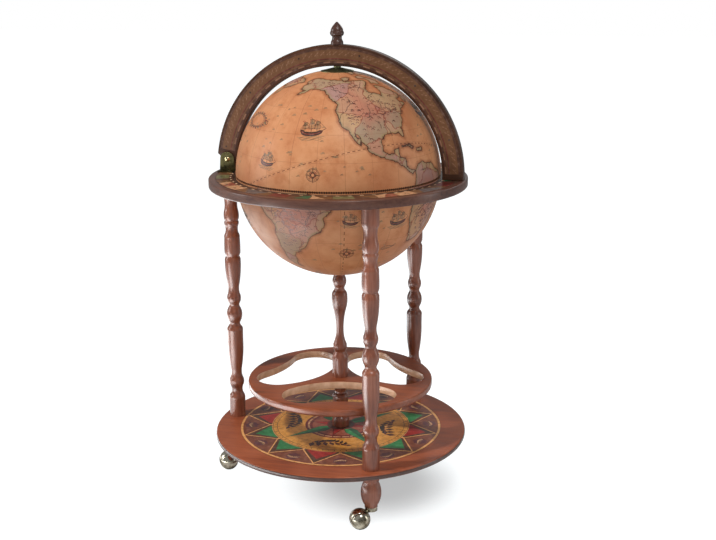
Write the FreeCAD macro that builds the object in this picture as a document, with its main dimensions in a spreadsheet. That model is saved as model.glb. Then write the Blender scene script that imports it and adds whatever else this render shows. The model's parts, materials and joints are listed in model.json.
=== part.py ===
# Floor globe bar: a globe on a three-legged turned stand whose upper half opens as a lid.
# Millimetres, +Z up, origin on the floor under the middle of the globe.
# The arch lies in the XZ plane with its hinge at -X.
import FreeCAD
import Part
import Sketcher
import math
import os

# Driving dimensions. Every other length is worked out from these.
SIZES = {
    # Stack from the floor to the ring
    "caster_height": 41.0,
    "foot_height": 65.5,
    "base_thickness": 11.5,
    "leg_length": 507.0,
    "ring_thickness": 17.0,
    # Globe halves
    "sphere_radius": 200.0,
    "sphere_wall": 3.0,
    "sphere_rise": 4.0,
    "split_gap": 1.5,
    "lip_width": 5.0,
    "lip_thickness": 3.0,
    # Horizon ring
    "ring_width": 48.0,
    "ring_round": 2.5,
    "ring_clearance": 0.6,
    "ring_print_inset": 1.5,
    "ring_print_width": 33.0,
    "print_thickness": 0.4,
    # Legs and feet
    "leg_inset": 27.0,
    "leg_diameter": 33.0,
    "tenon_diameter": 18.0,
    "tenon_length": 10.0,
    "foot_diameter": 40.0,
    "stud_diameter": 8.0,
    "stud_in_foot": 20.0,
    "stud_in_leg": 40.0,
    # Base board
    "base_margin": 30.5,
    "base_round": 4.5,
    "base_print_radius": 206.5,
    # Bottle shelf
    "shelf_height": 107.0,
    "shelf_radius": 187.5,
    "shelf_thickness": 15.5,
    "shelf_round": 4.0,
    "lobe_reach": 106.0,
    "lobe_side": 67.0,
    "lobe_radius": 45.0,
    "hub_radius": 34.0,
    "rim_reach": 142.0,
    # Centre column and its rod
    "column_diameter": 32.0,
    "column_foot_diameter": 35.0,
    "column_rod_diameter": 8.0,
    "rod_tail": 3.0,
    "washer_diameter": 28.0,
    "washer_thickness": 2.0,
    "nut_radius": 7.5,
    "nut_height": 6.5,
    # Bottle rack inside the lower half
    "rack_floor_radius": 115.0,
    "rack_floor_thickness": 6.0,
    "rack_plate_drop": 28.0,
    "rack_plate_thickness": 6.0,
    "rack_clearance": 0.5,
    "glass_hole_rim": 10.0,
    "post_diameter": 12.0,
    "post_inset": 12.0,
    # Meridian arch
    "arch_gap": 8.0,
    "arch_width": 40.5,
    "arch_thickness": 20.0,
    "strip_margin": 5.0,
    # Hinge
    "hinge_height": 25.0,
    "hinge_foot_radius": 19.0,
    "hinge_pin_diameter": 6.0,
    "hinge_head_diameter": 11.0,
    "hinge_head_height": 3.0,
    "bracket_wall": 2.5,
    "bracket_length": 32.0,
    "bracket_flange": 14.0,
    "cheek_clearance": 0.5,
    "cheek_radius": 14.5,
    "screw_diameter": 4.0,
    "screw_head_diameter": 7.5,
    "screw_head_height": 2.0,
    "screw_length": 12.0,
    # Finial and pole
    "finial_height": 42.0,
    "finial_diameter": 27.0,
    "finial_seat_diameter": 24.0,
    "pole_rod_diameter": 6.0,
    "pole_rod_in_finial": 16.0,
    "pole_cap_radius": 32.0,
    "pole_cap_rim": 1.2,
    "pole_neck_diameter": 14.0,
    "pole_hub_radius": 20.0,
    "pole_hub_height": 9.0,
    "pole_nut_radius": 6.0,
    "pole_nut_height": 5.0,
    "pole_clearance": 0.4,
    # Ball casters
    "wheel_radius": 19.5,
    "wheel_dome": 20.5,
    "wheel_gap": 1.2,
    "caster_trail": 25.0,
    "axle_diameter": 6.0,
    "axle_length": 10.0,
    "collar_diameter": 24.0,
    "collar_thickness": 6.5,
    "web_diameter": 9.0,
    "web_rise": 11.5,
    "web_offset": 2.0,
    "stem_diameter": 8.0,
    "stem_length": 26.0,
    "socket_wall": 1.5,
    "socket_flange_diameter": 25.0,
    "socket_flange_thickness": 1.2,
    "collar_clearance": 0.3,
    # Fits
    "running_fit": 0.05,
    "hole_clearance": 0.2,
    "seat_clearance": 0.3,
}

# Directions in plan, degrees from +X
LEFT_LEG_ANGLE = 180.0
FRONT_LEG_ANGLE = -60.0
RIGHT_LEG_ANGLE = 60.0
LEG_ANGLES = {"left": LEFT_LEG_ANGLE, "front": FRONT_LEG_ANGLE, "right": RIGHT_LEG_ANGLE}
SHELF_OPENING_ANGLE = 44.0
BOTTLE_ANGLES = (60.0, 180.0, 300.0)
POST_ANGLES = (0.0, 120.0, 240.0)
GLASS_ANGLES = (-20.0, 20.0, 100.0, 140.0, 220.0, 260.0)
CASTER_TRAIL_ANGLE = 225.0
AXLE_TILT = 30.0

# Angles along the arch, degrees from +X about the globe's centre
STRIP_START_ANGLE = 2.0
STRIP_END_ANGLE = 170.0
HINGE_FOOT_TURN = 110.0

# Turned outlines: share of the length, share of the largest radius, bulge of the span that
# follows (sagitta over half the chord, outward positive).
LEG_SHARES = (
    (0.0, 1.0, 0.0),
    (0.075, 1.0, 0.2),
    (0.099, 0.818, -0.2),
    (0.134, 0.803, 0.27),
    (0.170, 0.788, -0.12),
    (0.209, 0.712, 0.05),
    (0.331, 0.988, 0.0),
    (0.371, 1.0, 0.25),
    (0.391, 0.788, -0.33),
    (0.414, 0.788, 0.24),
    (0.469, 0.758, -0.31),
    (0.491, 0.742, 0.22),
    (0.527, 0.758, -0.1),
    (0.560, 0.697, 0.05),
    (0.659, 0.994, 0.0),
    (0.675, 0.982, 0.0),
    (0.686, 0.833, 0.0),
    (0.698, 0.982, 0.0),
    (0.710, 0.994, 0.02),
    (0.761, 0.958, 0.2),
    (0.781, 0.818, -0.12),
    (0.809, 0.788, 0.1),
    (0.825, 0.903, 0.0),
    (0.833, 0.824, 0.0),
    (0.842, 0.921, 0.1),
    (0.880, 0.818, -0.09),
    (0.923, 0.848, 0.15),
    (0.943, 1.0, 0.0),
    (1.0, 1.0, 0.0),
)
FOOT_SHARES = (
    (0.0, 0.6, 0.0),
    (0.05, 0.63, 0.27),
    (0.78, 0.71, -0.3),
    (0.82, 0.785, 0.0),
    (1.0, 0.785, 0.0),
)
COLUMN_UPPER_SHARES = (
    (0.0, 0.97, 0.0),
    (0.17, 1.0, 0.2),
    (0.235, 0.75, 0.0),
    (0.245, 0.69, 0.0),
    (0.255, 0.75, 0.25),
    (0.335, 0.75, -0.08),
    (0.43, 0.49, 0.0),
    (0.48, 0.48, -0.06),
    (0.66, 0.84, 0.1),
    (0.78, 0.98, 0.22),
    (0.83, 0.7, -0.25),
    (0.87, 0.7, 0.3),
    (0.975, 0.62, 0.0),
    (1.0, 0.6, 0.0),
)
COLUMN_LOWER_SHARES = (
    (0.0, 1.0, 0.0),
    (0.1, 1.0, 0.3),
    (0.23, 0.72, -0.15),
    (0.4, 0.64, 0.12),
    (0.68, 0.92, 0.3),
    (0.78, 0.66, -0.2),
    (0.85, 0.66, 0.3),
    (0.95, 0.7, 0.0),
    (1.0, 0.8, 0.0),
)
FINIAL_SHARES = (
    (0.0, 0.9, 0.0),
    (0.13, 0.87, -0.15),
    (0.29, 0.68, 0.0),
    (0.36, 0.7, 0.5),
    (0.6, 0.88, 0.1),
    (0.7, 0.82, 0.08),
    (0.95, 0.24, 0.15),
    (1.0, 0.07, 0.0),
)
# Shares of another length
BOTTLE_HOLE_SHARE = 0.2222
BOTTLE_CIRCLE_SHARE = 0.3875
GLASS_HOLE_SHARE = 0.1705
POLE_CAP_SHARE = 0.62
CROWN_SEAT_SHARE = 0.5
SCREW_SPREAD_SHARE = 0.3
FOOT_NOTCH_SHARE = 0.55
FOOT_HEEL_SHARES = (0.84, 0.35)


class Size:
    """A length that carries its number and the sheet expression that gives it."""

    def __init__(self, value, text):
        self.value = value
        self.text = text

    def joined(self, sign, other, value):
        return Size(value, f"({self.text} {sign} {as_size(other).text})")

    def __add__(self, other):
        return self.joined("+", other, self.value + as_size(other).value)

    def __sub__(self, other):
        return self.joined("-", other, self.value - as_size(other).value)

    def __mul__(self, other):
        return self.joined("*", other, self.value * as_size(other).value)

    def __truediv__(self, other):
        return self.joined("/", other, self.value / as_size(other).value)

    def __neg__(self):
        return self * -1.0

    def root(self):
        return Size(math.sqrt(self.value), f"sqrt({self.text})")


def as_size(number):
    if isinstance(number, Size):
        return number
    return Size(float(number), f"({float(number)!r})")


def leg_of(long_side, short_side):
    """The other side of a right triangle with this longest side."""
    return (long_side * long_side - short_side * short_side).root()


def dome_radius(rim_radius, height):
    """The radius of a round cap of this height over this rim."""
    return (rim_radius * rim_radius + height * height) / (height * 2.0)


def along(radius, angle):
    """The plan point at this radius and this angle in degrees."""
    return (radius * math.cos(math.radians(angle)), radius * math.sin(math.radians(angle)))


doc = FreeCAD.newDocument("globe_bar")
sheet = doc.addObject("Spreadsheet::Sheet", "Sizes")
for row, (alias, number) in enumerate(SIZES.items(), start=1):
    sheet.set(f"A{row}", alias)
    sheet.set(f"B{row}", str(number))
    sheet.setAlias(f"B{row}", alias)
doc.recompute()
size = {alias: Size(number, f"Sizes.{alias}") for alias, number in SIZES.items()}
nothing = as_size(0.0)
parts = []


def bind(item, path, length):
    item.setExpression(path, length.text)


def place(item, x=nothing, y=nothing, z=nothing, rotation=None):
    if rotation is not None:
        item.Placement = FreeCAD.Placement(FreeCAD.Vector(), rotation)
    for axis, length in zip("xyz", (x, y, z)):
        if length.value != 0.0:
            bind(item, f"Placement.Base.{axis}", length)


def keep(item, label):
    """Name a finished sub-part, which is written to its own file."""
    item.Label = label
    parts.append(item)
    return item


def line_to(x, y):
    return (x, y, None, 1.0)


def bulge_to(x, y, bulge):
    """The next span leaves this corner as an arc with this bulge, or straight where it is zero."""
    return (x, y, bulge if bulge else None, 1.0)


def arc_to(x, y, radius, turn):
    """The next span leaves this corner as an arc of this radius; turn 1 is anticlockwise."""
    return (x, y, radius, turn)


def span_radius(start, end, bend):
    if isinstance(bend, Size):
        return bend
    across = end[0] - start[0]
    upward = end[1] - start[1]
    chord = (across * across + upward * upward).root()
    return chord * ((1.0 + bend * bend) / (4.0 * abs(bend)))


def span_geometry(start, end, bend, turn):
    """One span of an outline, and whether it runs backwards (a clockwise arc)."""
    first = FreeCAD.Vector(start[0].value, start[1].value, 0)
    last = FreeCAD.Vector(end[0].value, end[1].value, 0)
    if bend is None:
        return Part.LineSegment(first, last), False
    radius = span_radius(start, end, bend).value
    clockwise = (turn < 0.0) if isinstance(bend, Size) else (bend < 0.0)
    if clockwise:
        first, last = last, first
    chord = last - first
    to_left = FreeCAD.Vector(-chord.y, chord.x, 0).normalize()
    reach = math.sqrt(max(radius ** 2 - (chord.Length / 2) ** 2, 0.0))
    centre = first + chord * 0.5 + to_left * reach
    begin = math.atan2(first.y - centre.y, first.x - centre.x)
    finish = math.atan2(last.y - centre.y, last.x - centre.x)
    if finish < begin:
        finish += 2 * math.pi
    circle = Part.Circle(centre, FreeCAD.Vector(0, 0, 1), radius)
    return Part.ArcOfCircle(circle, begin, finish), clockwise


def pin_point(sketch_rules, bindings, geometry, point, x, y):
    """Hold one sketch point at its two sheet lengths, or on an axis where one is zero."""
    for length, kind, axis in ((x, "DistanceX", -2), (y, "DistanceY", -1)):
        if length.value == 0.0:
            sketch_rules.append(Sketcher.Constraint("PointOnObject", geometry, point, axis))
        else:
            bindings[len(sketch_rules)] = length
            sketch_rules.append(Sketcher.Constraint(kind, -1, 1, geometry, point, length.value))


def add_sketch(body, role, outlines=(), circles=(), level=nothing):
    """A sketch over one of the body's origin planes, with every corner and radius bound."""
    sketch = body.newObject("Sketcher::SketchObject", "Sketch")
    plane = [feature for feature in body.Origin.OriginFeatures if feature.Role == role][0]
    sketch.AttachmentSupport = [(plane, "")]
    sketch.MapMode = "FlatFace"
    if level.value != 0.0:
        bind(sketch, "AttachmentOffset.Base.z", level)
    shapes = []
    rules = []
    bindings = {}
    for outline in outlines:
        first_index = len(shapes)
        count = len(outline)
        ends = []
        for index, corner in enumerate(outline):
            following = outline[(index + 1) % count]
            shape, backwards = span_geometry(corner, following, corner[2], corner[3])
            shapes.append(shape)
            ends.append((2, 1) if backwards else (1, 2))
        for index, corner in enumerate(outline):
            here = first_index + index
            after = first_index + (index + 1) % count
            rules.append(Sketcher.Constraint(
                "Coincident", here, ends[index][1], after, ends[(index + 1) % count][0]))
            pin_point(rules, bindings, here, ends[index][0], corner[0], corner[1])
            if corner[2] is not None:
                radius = span_radius(corner, outline[(index + 1) % count], corner[2])
                bindings[len(rules)] = radius
                rules.append(Sketcher.Constraint("Radius", here, radius.value))
    for x, y, radius in circles:
        here = len(shapes)
        centre = FreeCAD.Vector(x.value, y.value, 0)
        shapes.append(Part.Circle(centre, FreeCAD.Vector(0, 0, 1), radius.value))
        pin_point(rules, bindings, here, 3, x, y)
        bindings[len(rules)] = radius
        rules.append(Sketcher.Constraint("Radius", here, radius.value))
    sketch.addGeometry(shapes, False)
    sketch.addConstraint(rules)
    for index, length in bindings.items():
        sketch.setExpression(f"Constraints[{index}]", length.text)
    return sketch


def new_body():
    return doc.addObject("PartDesign::Body", "Body")


def revolve(body, outline):
    """Turn a closed outline, radius across and height up, about the body's own Z axis."""
    sketch = add_sketch(body, "XZ_Plane", [outline])
    turned = body.newObject("PartDesign::Revolution", "Turned")
    turned.Profile = sketch
    turned.ReferenceAxis = (sketch, ["V_Axis"])
    turned.Angle = 360.0
    return turned


def pad(body, role, outlines, circles, length, symmetric=False, back=False):
    feature = body.newObject("PartDesign::Pad", "Pad")
    feature.Profile = add_sketch(body, role, outlines, circles)
    feature.SideType = "Symmetric" if symmetric else "One side"
    feature.Reversed = back
    bind(feature, "Length", length)
    return feature


def pocket(body, role, outlines, circles, length, symmetric=False, back=False, level=nothing):
    """Cut a sketch out of the body, and check that the cut met it."""
    doc.recompute()
    before = body.Shape.Volume
    feature = body.newObject("PartDesign::Pocket", "Pocket")
    feature.Profile = add_sketch(body, role, outlines, circles, level)
    feature.SideType = "Symmetric" if symmetric else "One side"
    feature.Reversed = back
    bind(feature, "Length", length)
    doc.recompute()
    if not body.Shape.Volume < before:
        raise RuntimeError("a pocket cut nothing")
    return feature


def cylinder(radius, height, x=nothing, y=nothing, z=nothing, rotation=None):
    item = doc.addObject("Part::Cylinder", "Cylinder")
    bind(item, "Radius", radius)
    bind(item, "Height", height)
    place(item, x, y, z, rotation)
    return item


def fuse(items):
    item = doc.addObject("Part::MultiFuse", "Fuse")
    item.Shapes = items
    return item


def cut(base, tool):
    item = doc.addObject("Part::Cut", "Cut")
    item.Base = base
    item.Tool = tool
    return item


def group(items):
    item = doc.addObject("Part::Compound", "Group")
    item.Links = items
    return item


def turning(shares, length, radius, bore, bore_depth=None, tip=None):
    """A turned outline from a table of shares, bored up from its foot, right through or to a depth.

    tip adds a plain tenon of this (radius, length) on top."""
    outline = [line_to(bore, nothing)]
    for height_share, radius_share, bulge in shares:
        outline.append(bulge_to(radius * radius_share, length * height_share, bulge))
    top = length
    if tip is not None:
        outline.append(line_to(tip[0], length))
        top = length + tip[1]
        outline.append(line_to(tip[0], top))
    if bore_depth is None:
        outline.append(line_to(bore, top))
    else:
        outline.append(line_to(nothing, top))
        outline.append(line_to(nothing, bore_depth))
        outline.append(line_to(bore, bore_depth))
    return outline


def rounded_disc(outer, thickness, edge_round, bore):
    """A disc with a bore and a rounded rim."""
    flat = outer - edge_round
    return [
        line_to(bore, nothing),
        arc_to(flat, nothing, edge_round, 1.0),
        line_to(outer, edge_round),
        arc_to(outer, thickness - edge_round, edge_round, 1.0),
        line_to(flat, thickness),
        line_to(bore, thickness),
    ]


def sleeve(inner, outer, height):
    return [
        line_to(inner, nothing),
        line_to(outer, nothing),
        line_to(outer, height),
        line_to(inner, height),
    ]


# Levels and radii that several pieces share
foot_top = size["caster_height"] + size["foot_height"]
base_top = foot_top + size["base_thickness"]
ring_under = base_top + size["leg_length"]
ring_top = ring_under + size["ring_thickness"]
sphere_centre = ring_top + size["sphere_rise"]
sphere_inner = size["sphere_radius"] - size["sphere_wall"]
half_split = size["split_gap"] / 2.0
lip_radius = size["sphere_radius"] + size["lip_width"]
ring_bore = size["sphere_radius"] + size["ring_clearance"]
ring_rabbet = lip_radius + size["ring_clearance"]
ring_outer = lip_radius + size["ring_width"]
print_top = ring_top + size["print_thickness"]
leg_circle = ring_outer - size["leg_inset"]
leg_radius = size["leg_diameter"] / 2.0
base_radius = leg_circle + size["base_margin"]
shelf_top = base_top + size["shelf_height"]
shelf_under = shelf_top - size["shelf_thickness"]
stud_radius = size["stud_diameter"] / 2.0
stud_bore = stud_radius + size["hole_clearance"]
rod_radius = size["column_rod_diameter"] / 2.0
rod_bore = rod_radius + size["hole_clearance"]
column_radius = size["column_diameter"] / 2.0
column_foot_radius = size["column_foot_diameter"] / 2.0
bowl_under = sphere_centre - size["sphere_radius"]
bowl_floor = sphere_centre - sphere_inner
stem_radius = size["stem_diameter"] / 2.0
socket_bore = stem_radius + size["running_fit"]
socket_radius = socket_bore + size["socket_wall"]
socket_length = size["stem_length"] + size["socket_wall"]
socket_hole = socket_radius + size["hole_clearance"]
arch_inner = size["sphere_radius"] + size["arch_gap"]
arch_outer = arch_inner + size["arch_width"]
half_arch = size["arch_thickness"] / 2.0
pole_rod_radius = size["pole_rod_diameter"] / 2.0
pole_bore = pole_rod_radius + size["running_fit"]
leg_spots = {name: along(leg_circle, angle) for name, angle in LEG_ANGLES.items()}

# Hinge places, in the plane of the arch, from the middle of the globe
hinge_level = print_top + size["hinge_height"] - sphere_centre
hinge_inner = leg_of(arch_inner, hinge_level)
hinge_reach = hinge_inner + size["hinge_foot_radius"]
slot_half = half_arch + size["cheek_clearance"]
cheek_half = slot_half + size["bracket_wall"]
pin_radius = size["hinge_pin_diameter"] / 2.0
pin_bore = pin_radius + size["running_fit"]
flange_half = cheek_half + size["bracket_flange"]
screw_radius = size["screw_diameter"] / 2.0
screw_hole = screw_radius + size["hole_clearance"]
screw_across = size["bracket_length"] * SCREW_SPREAD_SHARE
screw_along = cheek_half + size["bracket_flange"] / 2.0
screw_spots = [(screw_across * a, screw_along * b) for a in (-1.0, 1.0) for b in (-1.0, 1.0)]
ring_screw_holes = [(x - hinge_reach, y, screw_hole) for x, y in screw_spots]


def make_base():
    board = new_body()
    revolve(board, rounded_disc(base_radius, size["base_thickness"], size["base_round"], rod_bore))
    holes = [(x, y, stud_bore) for x, y in leg_spots.values()]
    pocket(board, "XY_Plane", [], holes, size["base_thickness"], back=True)
    place(board, z=foot_top)
    keep(board, "base_board")
    printed = new_body()
    hole = column_foot_radius + size["seat_clearance"]
    revolve(printed, sleeve(hole, size["base_print_radius"], size["print_thickness"]))
    place(printed, z=base_top)
    keep(printed, "base_print")


def foot_outline():
    """A bulb turned from its caster end up, bored for the socket below and the stud above."""
    outline = [line_to(socket_hole, nothing)]
    foot_radius = size["foot_diameter"] / 2.0
    for height_share, radius_share, bulge in FOOT_SHARES:
        outline.append(bulge_to(foot_radius * radius_share, size["foot_height"] * height_share, bulge))
    stud_end = size["foot_height"] - size["stud_in_foot"]
    outline.append(line_to(stud_bore, size["foot_height"]))
    outline.append(line_to(stud_bore, stud_end))
    outline.append(line_to(nothing, stud_end))
    outline.append(line_to(nothing, socket_length))
    outline.append(line_to(socket_hole, socket_length))
    return outline


def socket_outline():
    """A brass sleeve closed at its top, with a flange against the foot."""
    flange_radius = size["socket_flange_diameter"] / 2.0
    flange = size["socket_flange_thickness"]
    top = flange + socket_length
    return [
        line_to(socket_bore, nothing),
        line_to(flange_radius, nothing),
        line_to(flange_radius, flange),
        line_to(socket_radius, flange),
        line_to(socket_radius, top),
        line_to(nothing, top),
        line_to(nothing, top - size["socket_wall"]),
        line_to(socket_bore, top - size["socket_wall"]),
    ]


def make_legs():
    studs = []
    sockets = []
    for name, (x, y) in leg_spots.items():
        foot = new_body()
        revolve(foot, foot_outline())
        place(foot, x, y, size["caster_height"])
        keep(foot, f"foot_{name}")
        leg = new_body()
        tenon = (size["tenon_diameter"] / 2.0, size["tenon_length"])
        bore_depth = size["stud_in_leg"] + size["hole_clearance"]
        revolve(leg, turning(LEG_SHARES, size["leg_length"], leg_radius, stud_bore, bore_depth, tenon))
        place(leg, x, y, base_top)
        keep(leg, f"leg_{name}")
        stud_length = size["stud_in_foot"] + size["base_thickness"] + size["stud_in_leg"]
        studs.append(cylinder(stud_radius, stud_length, x, y, foot_top - size["stud_in_foot"]))
        socket = new_body()
        revolve(socket, socket_outline())
        place(socket, x, y, size["caster_height"] - size["socket_flange_thickness"])
        sockets.append(socket)
    keep(group(studs), "leg_studs")
    keep(group(sockets), "caster_sockets")


def shelf_opening(angle):
    """A bean of four tangent arcs: hub side, lobe, rim side, lobe."""
    reach = size["lobe_reach"]
    side = size["lobe_side"]
    lobe = size["lobe_radius"]
    inward = reach - size["hub_radius"]
    hub_arc = (inward * inward + side * side - lobe * lobe) / ((inward - lobe) * 2.0)
    outward = size["rim_reach"] - reach
    rim_arc = (side * side + outward * outward - lobe * lobe) / ((lobe - outward) * 2.0)
    hub_centre = size["hub_radius"] + hub_arc
    rim_centre = size["rim_reach"] + rim_arc
    hub_share = hub_arc / (hub_arc - lobe)
    rim_share = rim_arc / (rim_arc + lobe)
    hub_x = hub_centre + (reach - hub_centre) * hub_share
    hub_y = side * hub_share
    rim_x = rim_centre + (reach - rim_centre) * rim_share
    rim_y = side * rim_share
    lobe_tip = (reach, side + lobe)
    corners = [
        (hub_x, -hub_y, lobe, 1.0),
        (lobe_tip[0], -lobe_tip[1], lobe, 1.0),
        (rim_x, -rim_y, rim_arc, -1.0),
        (rim_x, rim_y, lobe, 1.0),
        (lobe_tip[0], lobe_tip[1], lobe, 1.0),
        (hub_x, hub_y, hub_arc, 1.0),
    ]
    cosine = math.cos(math.radians(angle))
    sine = math.sin(math.radians(angle))
    return [
        arc_to(x * cosine - y * sine, x * sine + y * cosine, radius, turn)
        for x, y, radius, turn in corners
    ]


def make_shelf():
    shelf = new_body()
    disc = rounded_disc(size["shelf_radius"], size["shelf_thickness"], size["shelf_round"], rod_bore)
    revolve(shelf, disc)
    opening = pocket(
        shelf, "XY_Plane", [shelf_opening(SHELF_OPENING_ANGLE)], [], size["shelf_thickness"], back=True)
    pattern = shelf.newObject("PartDesign::PolarPattern", "Openings")
    pattern.Originals = [opening]
    pattern.Axis = (opening.Profile[0], ["N_Axis"])
    pattern.Angle = 360.0
    pattern.Occurrences = len(LEG_ANGLES)
    shelf.Tip = pattern
    place(shelf, z=shelf_under)
    keep(shelf, "bottle_shelf")


def make_column():
    lower = new_body()
    lower_length = shelf_under - base_top
    revolve(lower, turning(COLUMN_LOWER_SHARES, lower_length, column_foot_radius, rod_bore))
    place(lower, z=base_top)
    keep(lower, "column_lower")
    upper = new_body()
    upper_length = bowl_under - shelf_top - size["seat_clearance"]
    revolve(upper, turning(COLUMN_UPPER_SHARES, upper_length, column_radius, rod_bore))
    place(upper, z=shelf_top)
    keep(upper, "column_upper")

    washer_radius = size["washer_diameter"] / 2.0
    low_washer = foot_top - size["washer_thickness"]
    low_nut = low_washer - size["nut_height"]
    high_washer = sphere_centre - leg_of(sphere_inner, washer_radius)
    high_nut = high_washer + size["washer_thickness"]
    rod_start = low_nut - size["rod_tail"]
    rod_end = high_nut + size["nut_height"] + size["rod_tail"]
    keep(cylinder(rod_radius, rod_end - rod_start, z=rod_start), "column_rod")
    washers = []
    for level in (low_washer, high_washer):
        washer = new_body()
        revolve(washer, sleeve(rod_bore, washer_radius, size["washer_thickness"]))
        place(washer, z=level)
        washers.append(washer)
    keep(group(washers), "column_washers")
    nut_bore = rod_radius + size["running_fit"]
    nuts = [hex_nut(size["nut_radius"], size["nut_height"], nut_bore, level) for level in (low_nut, high_nut)]
    keep(group(nuts), "column_nuts")


def hex_nut(radius, height, bore, level):
    prism = doc.addObject("Part::Prism", "Prism")
    prism.Polygon = 6
    bind(prism, "Circumradius", radius)
    bind(prism, "Height", height)
    place(prism, z=level)
    return cut(prism, cylinder(bore, height, z=level))


def make_ring():
    ring = new_body()
    thickness = size["ring_thickness"]
    flat = ring_outer - size["ring_round"]
    seat = thickness - size["lip_thickness"]
    revolve(ring, [
        line_to(ring_bore, nothing),
        arc_to(flat, nothing, size["ring_round"], 1.0),
        line_to(ring_outer, size["ring_round"]),
        arc_to(ring_outer, thickness - size["ring_round"], size["ring_round"], 1.0),
        line_to(flat, thickness),
        line_to(ring_rabbet, thickness),
        line_to(ring_rabbet, seat),
        line_to(ring_bore, seat),
    ])
    tenon_hole = size["tenon_diameter"] / 2.0 + size["hole_clearance"]
    tenon_depth = size["tenon_length"] + size["hole_clearance"]
    holes = [(x, y, tenon_hole) for x, y in leg_spots.values()]
    pocket(ring, "XY_Plane", [], holes, tenon_depth, back=True)
    pilot_depth = size["screw_length"] - size["bracket_wall"]
    pocket(ring, "XY_Plane", [], ring_screw_holes, pilot_depth, level=thickness)
    place(ring, z=ring_under)
    keep(ring, "horizon_ring")
    printed = new_body()
    inner = ring_rabbet + size["ring_print_inset"]
    revolve(printed, sleeve(inner, inner + size["ring_print_width"], size["print_thickness"]))
    pocket(printed, "XY_Plane", [], ring_screw_holes, size["print_thickness"], back=True)
    place(printed, z=ring_top)
    keep(printed, "ring_print")


def make_lower_half():
    """A bowl with a lip that hangs in the ring's rabbet, bored at its bottom for the rod."""
    radius = size["sphere_radius"]
    lip_top = -size["sphere_rise"]
    lip_under = lip_top - size["lip_thickness"]
    bowl = new_body()
    revolve(bowl, [
        arc_to(rod_bore, -leg_of(radius, rod_bore), radius, 1.0),
        line_to(leg_of(radius, lip_under), lip_under),
        line_to(lip_radius, lip_under),
        line_to(lip_radius, lip_top),
        arc_to(leg_of(radius, lip_top), lip_top, radius, 1.0),
        line_to(leg_of(radius, half_split), -half_split),
        arc_to(leg_of(sphere_inner, half_split), -half_split, sphere_inner, -1.0),
        line_to(rod_bore, -leg_of(sphere_inner, rod_bore)),
    ])
    place(bowl, z=sphere_centre)
    keep(bowl, "lower_hemisphere")


def make_rack():
    """A floor disc, a holed plate and three posts between them, standing in the lower half."""
    clearance = size["rack_clearance"]
    floor_drop = leg_of(sphere_inner, size["rack_floor_radius"])
    floor_top_drop = floor_drop - size["rack_floor_thickness"]
    floor = new_body()
    revolve(floor, [
        line_to(nothing, nothing),
        line_to(size["rack_floor_radius"] - clearance, nothing),
        line_to(leg_of(sphere_inner, floor_top_drop) - clearance, size["rack_floor_thickness"]),
        line_to(nothing, size["rack_floor_thickness"]),
    ])
    place(floor, z=sphere_centre - floor_drop)
    keep(floor, "rack_floor")

    plate_drop = size["rack_plate_drop"] + size["rack_plate_thickness"]
    plate_radius = leg_of(sphere_inner, plate_drop) - clearance
    bottle_hole = plate_radius * BOTTLE_HOLE_SHARE
    bottle_circle = plate_radius * BOTTLE_CIRCLE_SHARE
    glass_hole = plate_radius * GLASS_HOLE_SHARE
    glass_circle = plate_radius - size["glass_hole_rim"] - glass_hole
    circles = [(nothing, nothing, plate_radius)]
    for angle in BOTTLE_ANGLES:
        circles.append((*along(bottle_circle, angle), bottle_hole))
    for angle in GLASS_ANGLES:
        circles.append((*along(glass_circle, angle), glass_hole))
    plate = new_body()
    pad(plate, "XY_Plane", [], circles, size["rack_plate_thickness"])
    place(plate, z=sphere_centre - plate_drop)
    keep(plate, "rack_plate")

    post_circle = size["rack_floor_radius"] - size["post_inset"]
    posts = []
    for angle in POST_ANGLES:
        x, y = along(post_circle, angle)
        post_radius = size["post_diameter"] / 2.0
        posts.append(cylinder(post_radius, floor_top_drop - plate_drop, x, y, sphere_centre - floor_top_drop))
    keep(group(posts), "rack_posts")


def make_arch():
    drop = print_top - sphere_centre
    crown_half = size["finial_seat_diameter"] * CROWN_SEAT_SHARE
    crown_level = leg_of(arch_outer, crown_half)
    foot = size["hinge_foot_radius"]
    foot_end = along(foot, -HINGE_FOOT_TURN)
    notch_level = hinge_level + foot * FOOT_NOTCH_SHARE
    arch = new_body()
    outline = [
        arc_to(-hinge_inner, hinge_level, foot, -1.0),
        line_to(foot_end[0] - hinge_reach, hinge_level + foot_end[1]),
        line_to(-hinge_reach - foot * FOOT_HEEL_SHARES[0], hinge_level + foot * FOOT_HEEL_SHARES[1]),
        arc_to(-leg_of(arch_outer, notch_level), notch_level, arch_outer, -1.0),
        line_to(-crown_half, crown_level),
        arc_to(crown_half, crown_level, arch_outer, -1.0),
        line_to(arch_outer, nothing),
        line_to(arch_outer, drop),
        line_to(arch_inner, drop),
        arc_to(arch_inner, nothing, arch_inner, 1.0),
        arc_to(nothing, arch_inner, arch_inner, 1.0),
    ]
    hinge_hole = [(-hinge_reach, hinge_level, pin_bore)]
    pad(arch, "XZ_Plane", [outline], hinge_hole, size["arch_thickness"], symmetric=True)
    rod_hole = [(nothing, nothing, pole_rod_radius + size["hole_clearance"])]
    pocket(arch, "XY_Plane", [], rod_hole, arch_outer, back=True)
    place(arch, z=sphere_centre)
    keep(arch, "meridian_arch")

    inner = arch_inner + size["strip_margin"]
    outer = arch_outer - size["strip_margin"]
    strip = [
        arc_to(*along(inner, STRIP_END_ANGLE), inner, -1.0),
        line_to(*along(inner, STRIP_START_ANGLE)),
        arc_to(*along(outer, STRIP_START_ANGLE), outer, 1.0),
        line_to(*along(outer, STRIP_END_ANGLE)),
    ]
    for label, side, back in (("arch_strip_front", -1.0, False), ("arch_strip_back", 1.0, True)):
        body = new_body()
        pad(body, "XZ_Plane", [strip], [], size["print_thickness"], back=back)
        place(body, y=half_arch * side, z=sphere_centre)
        keep(body, label)


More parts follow.
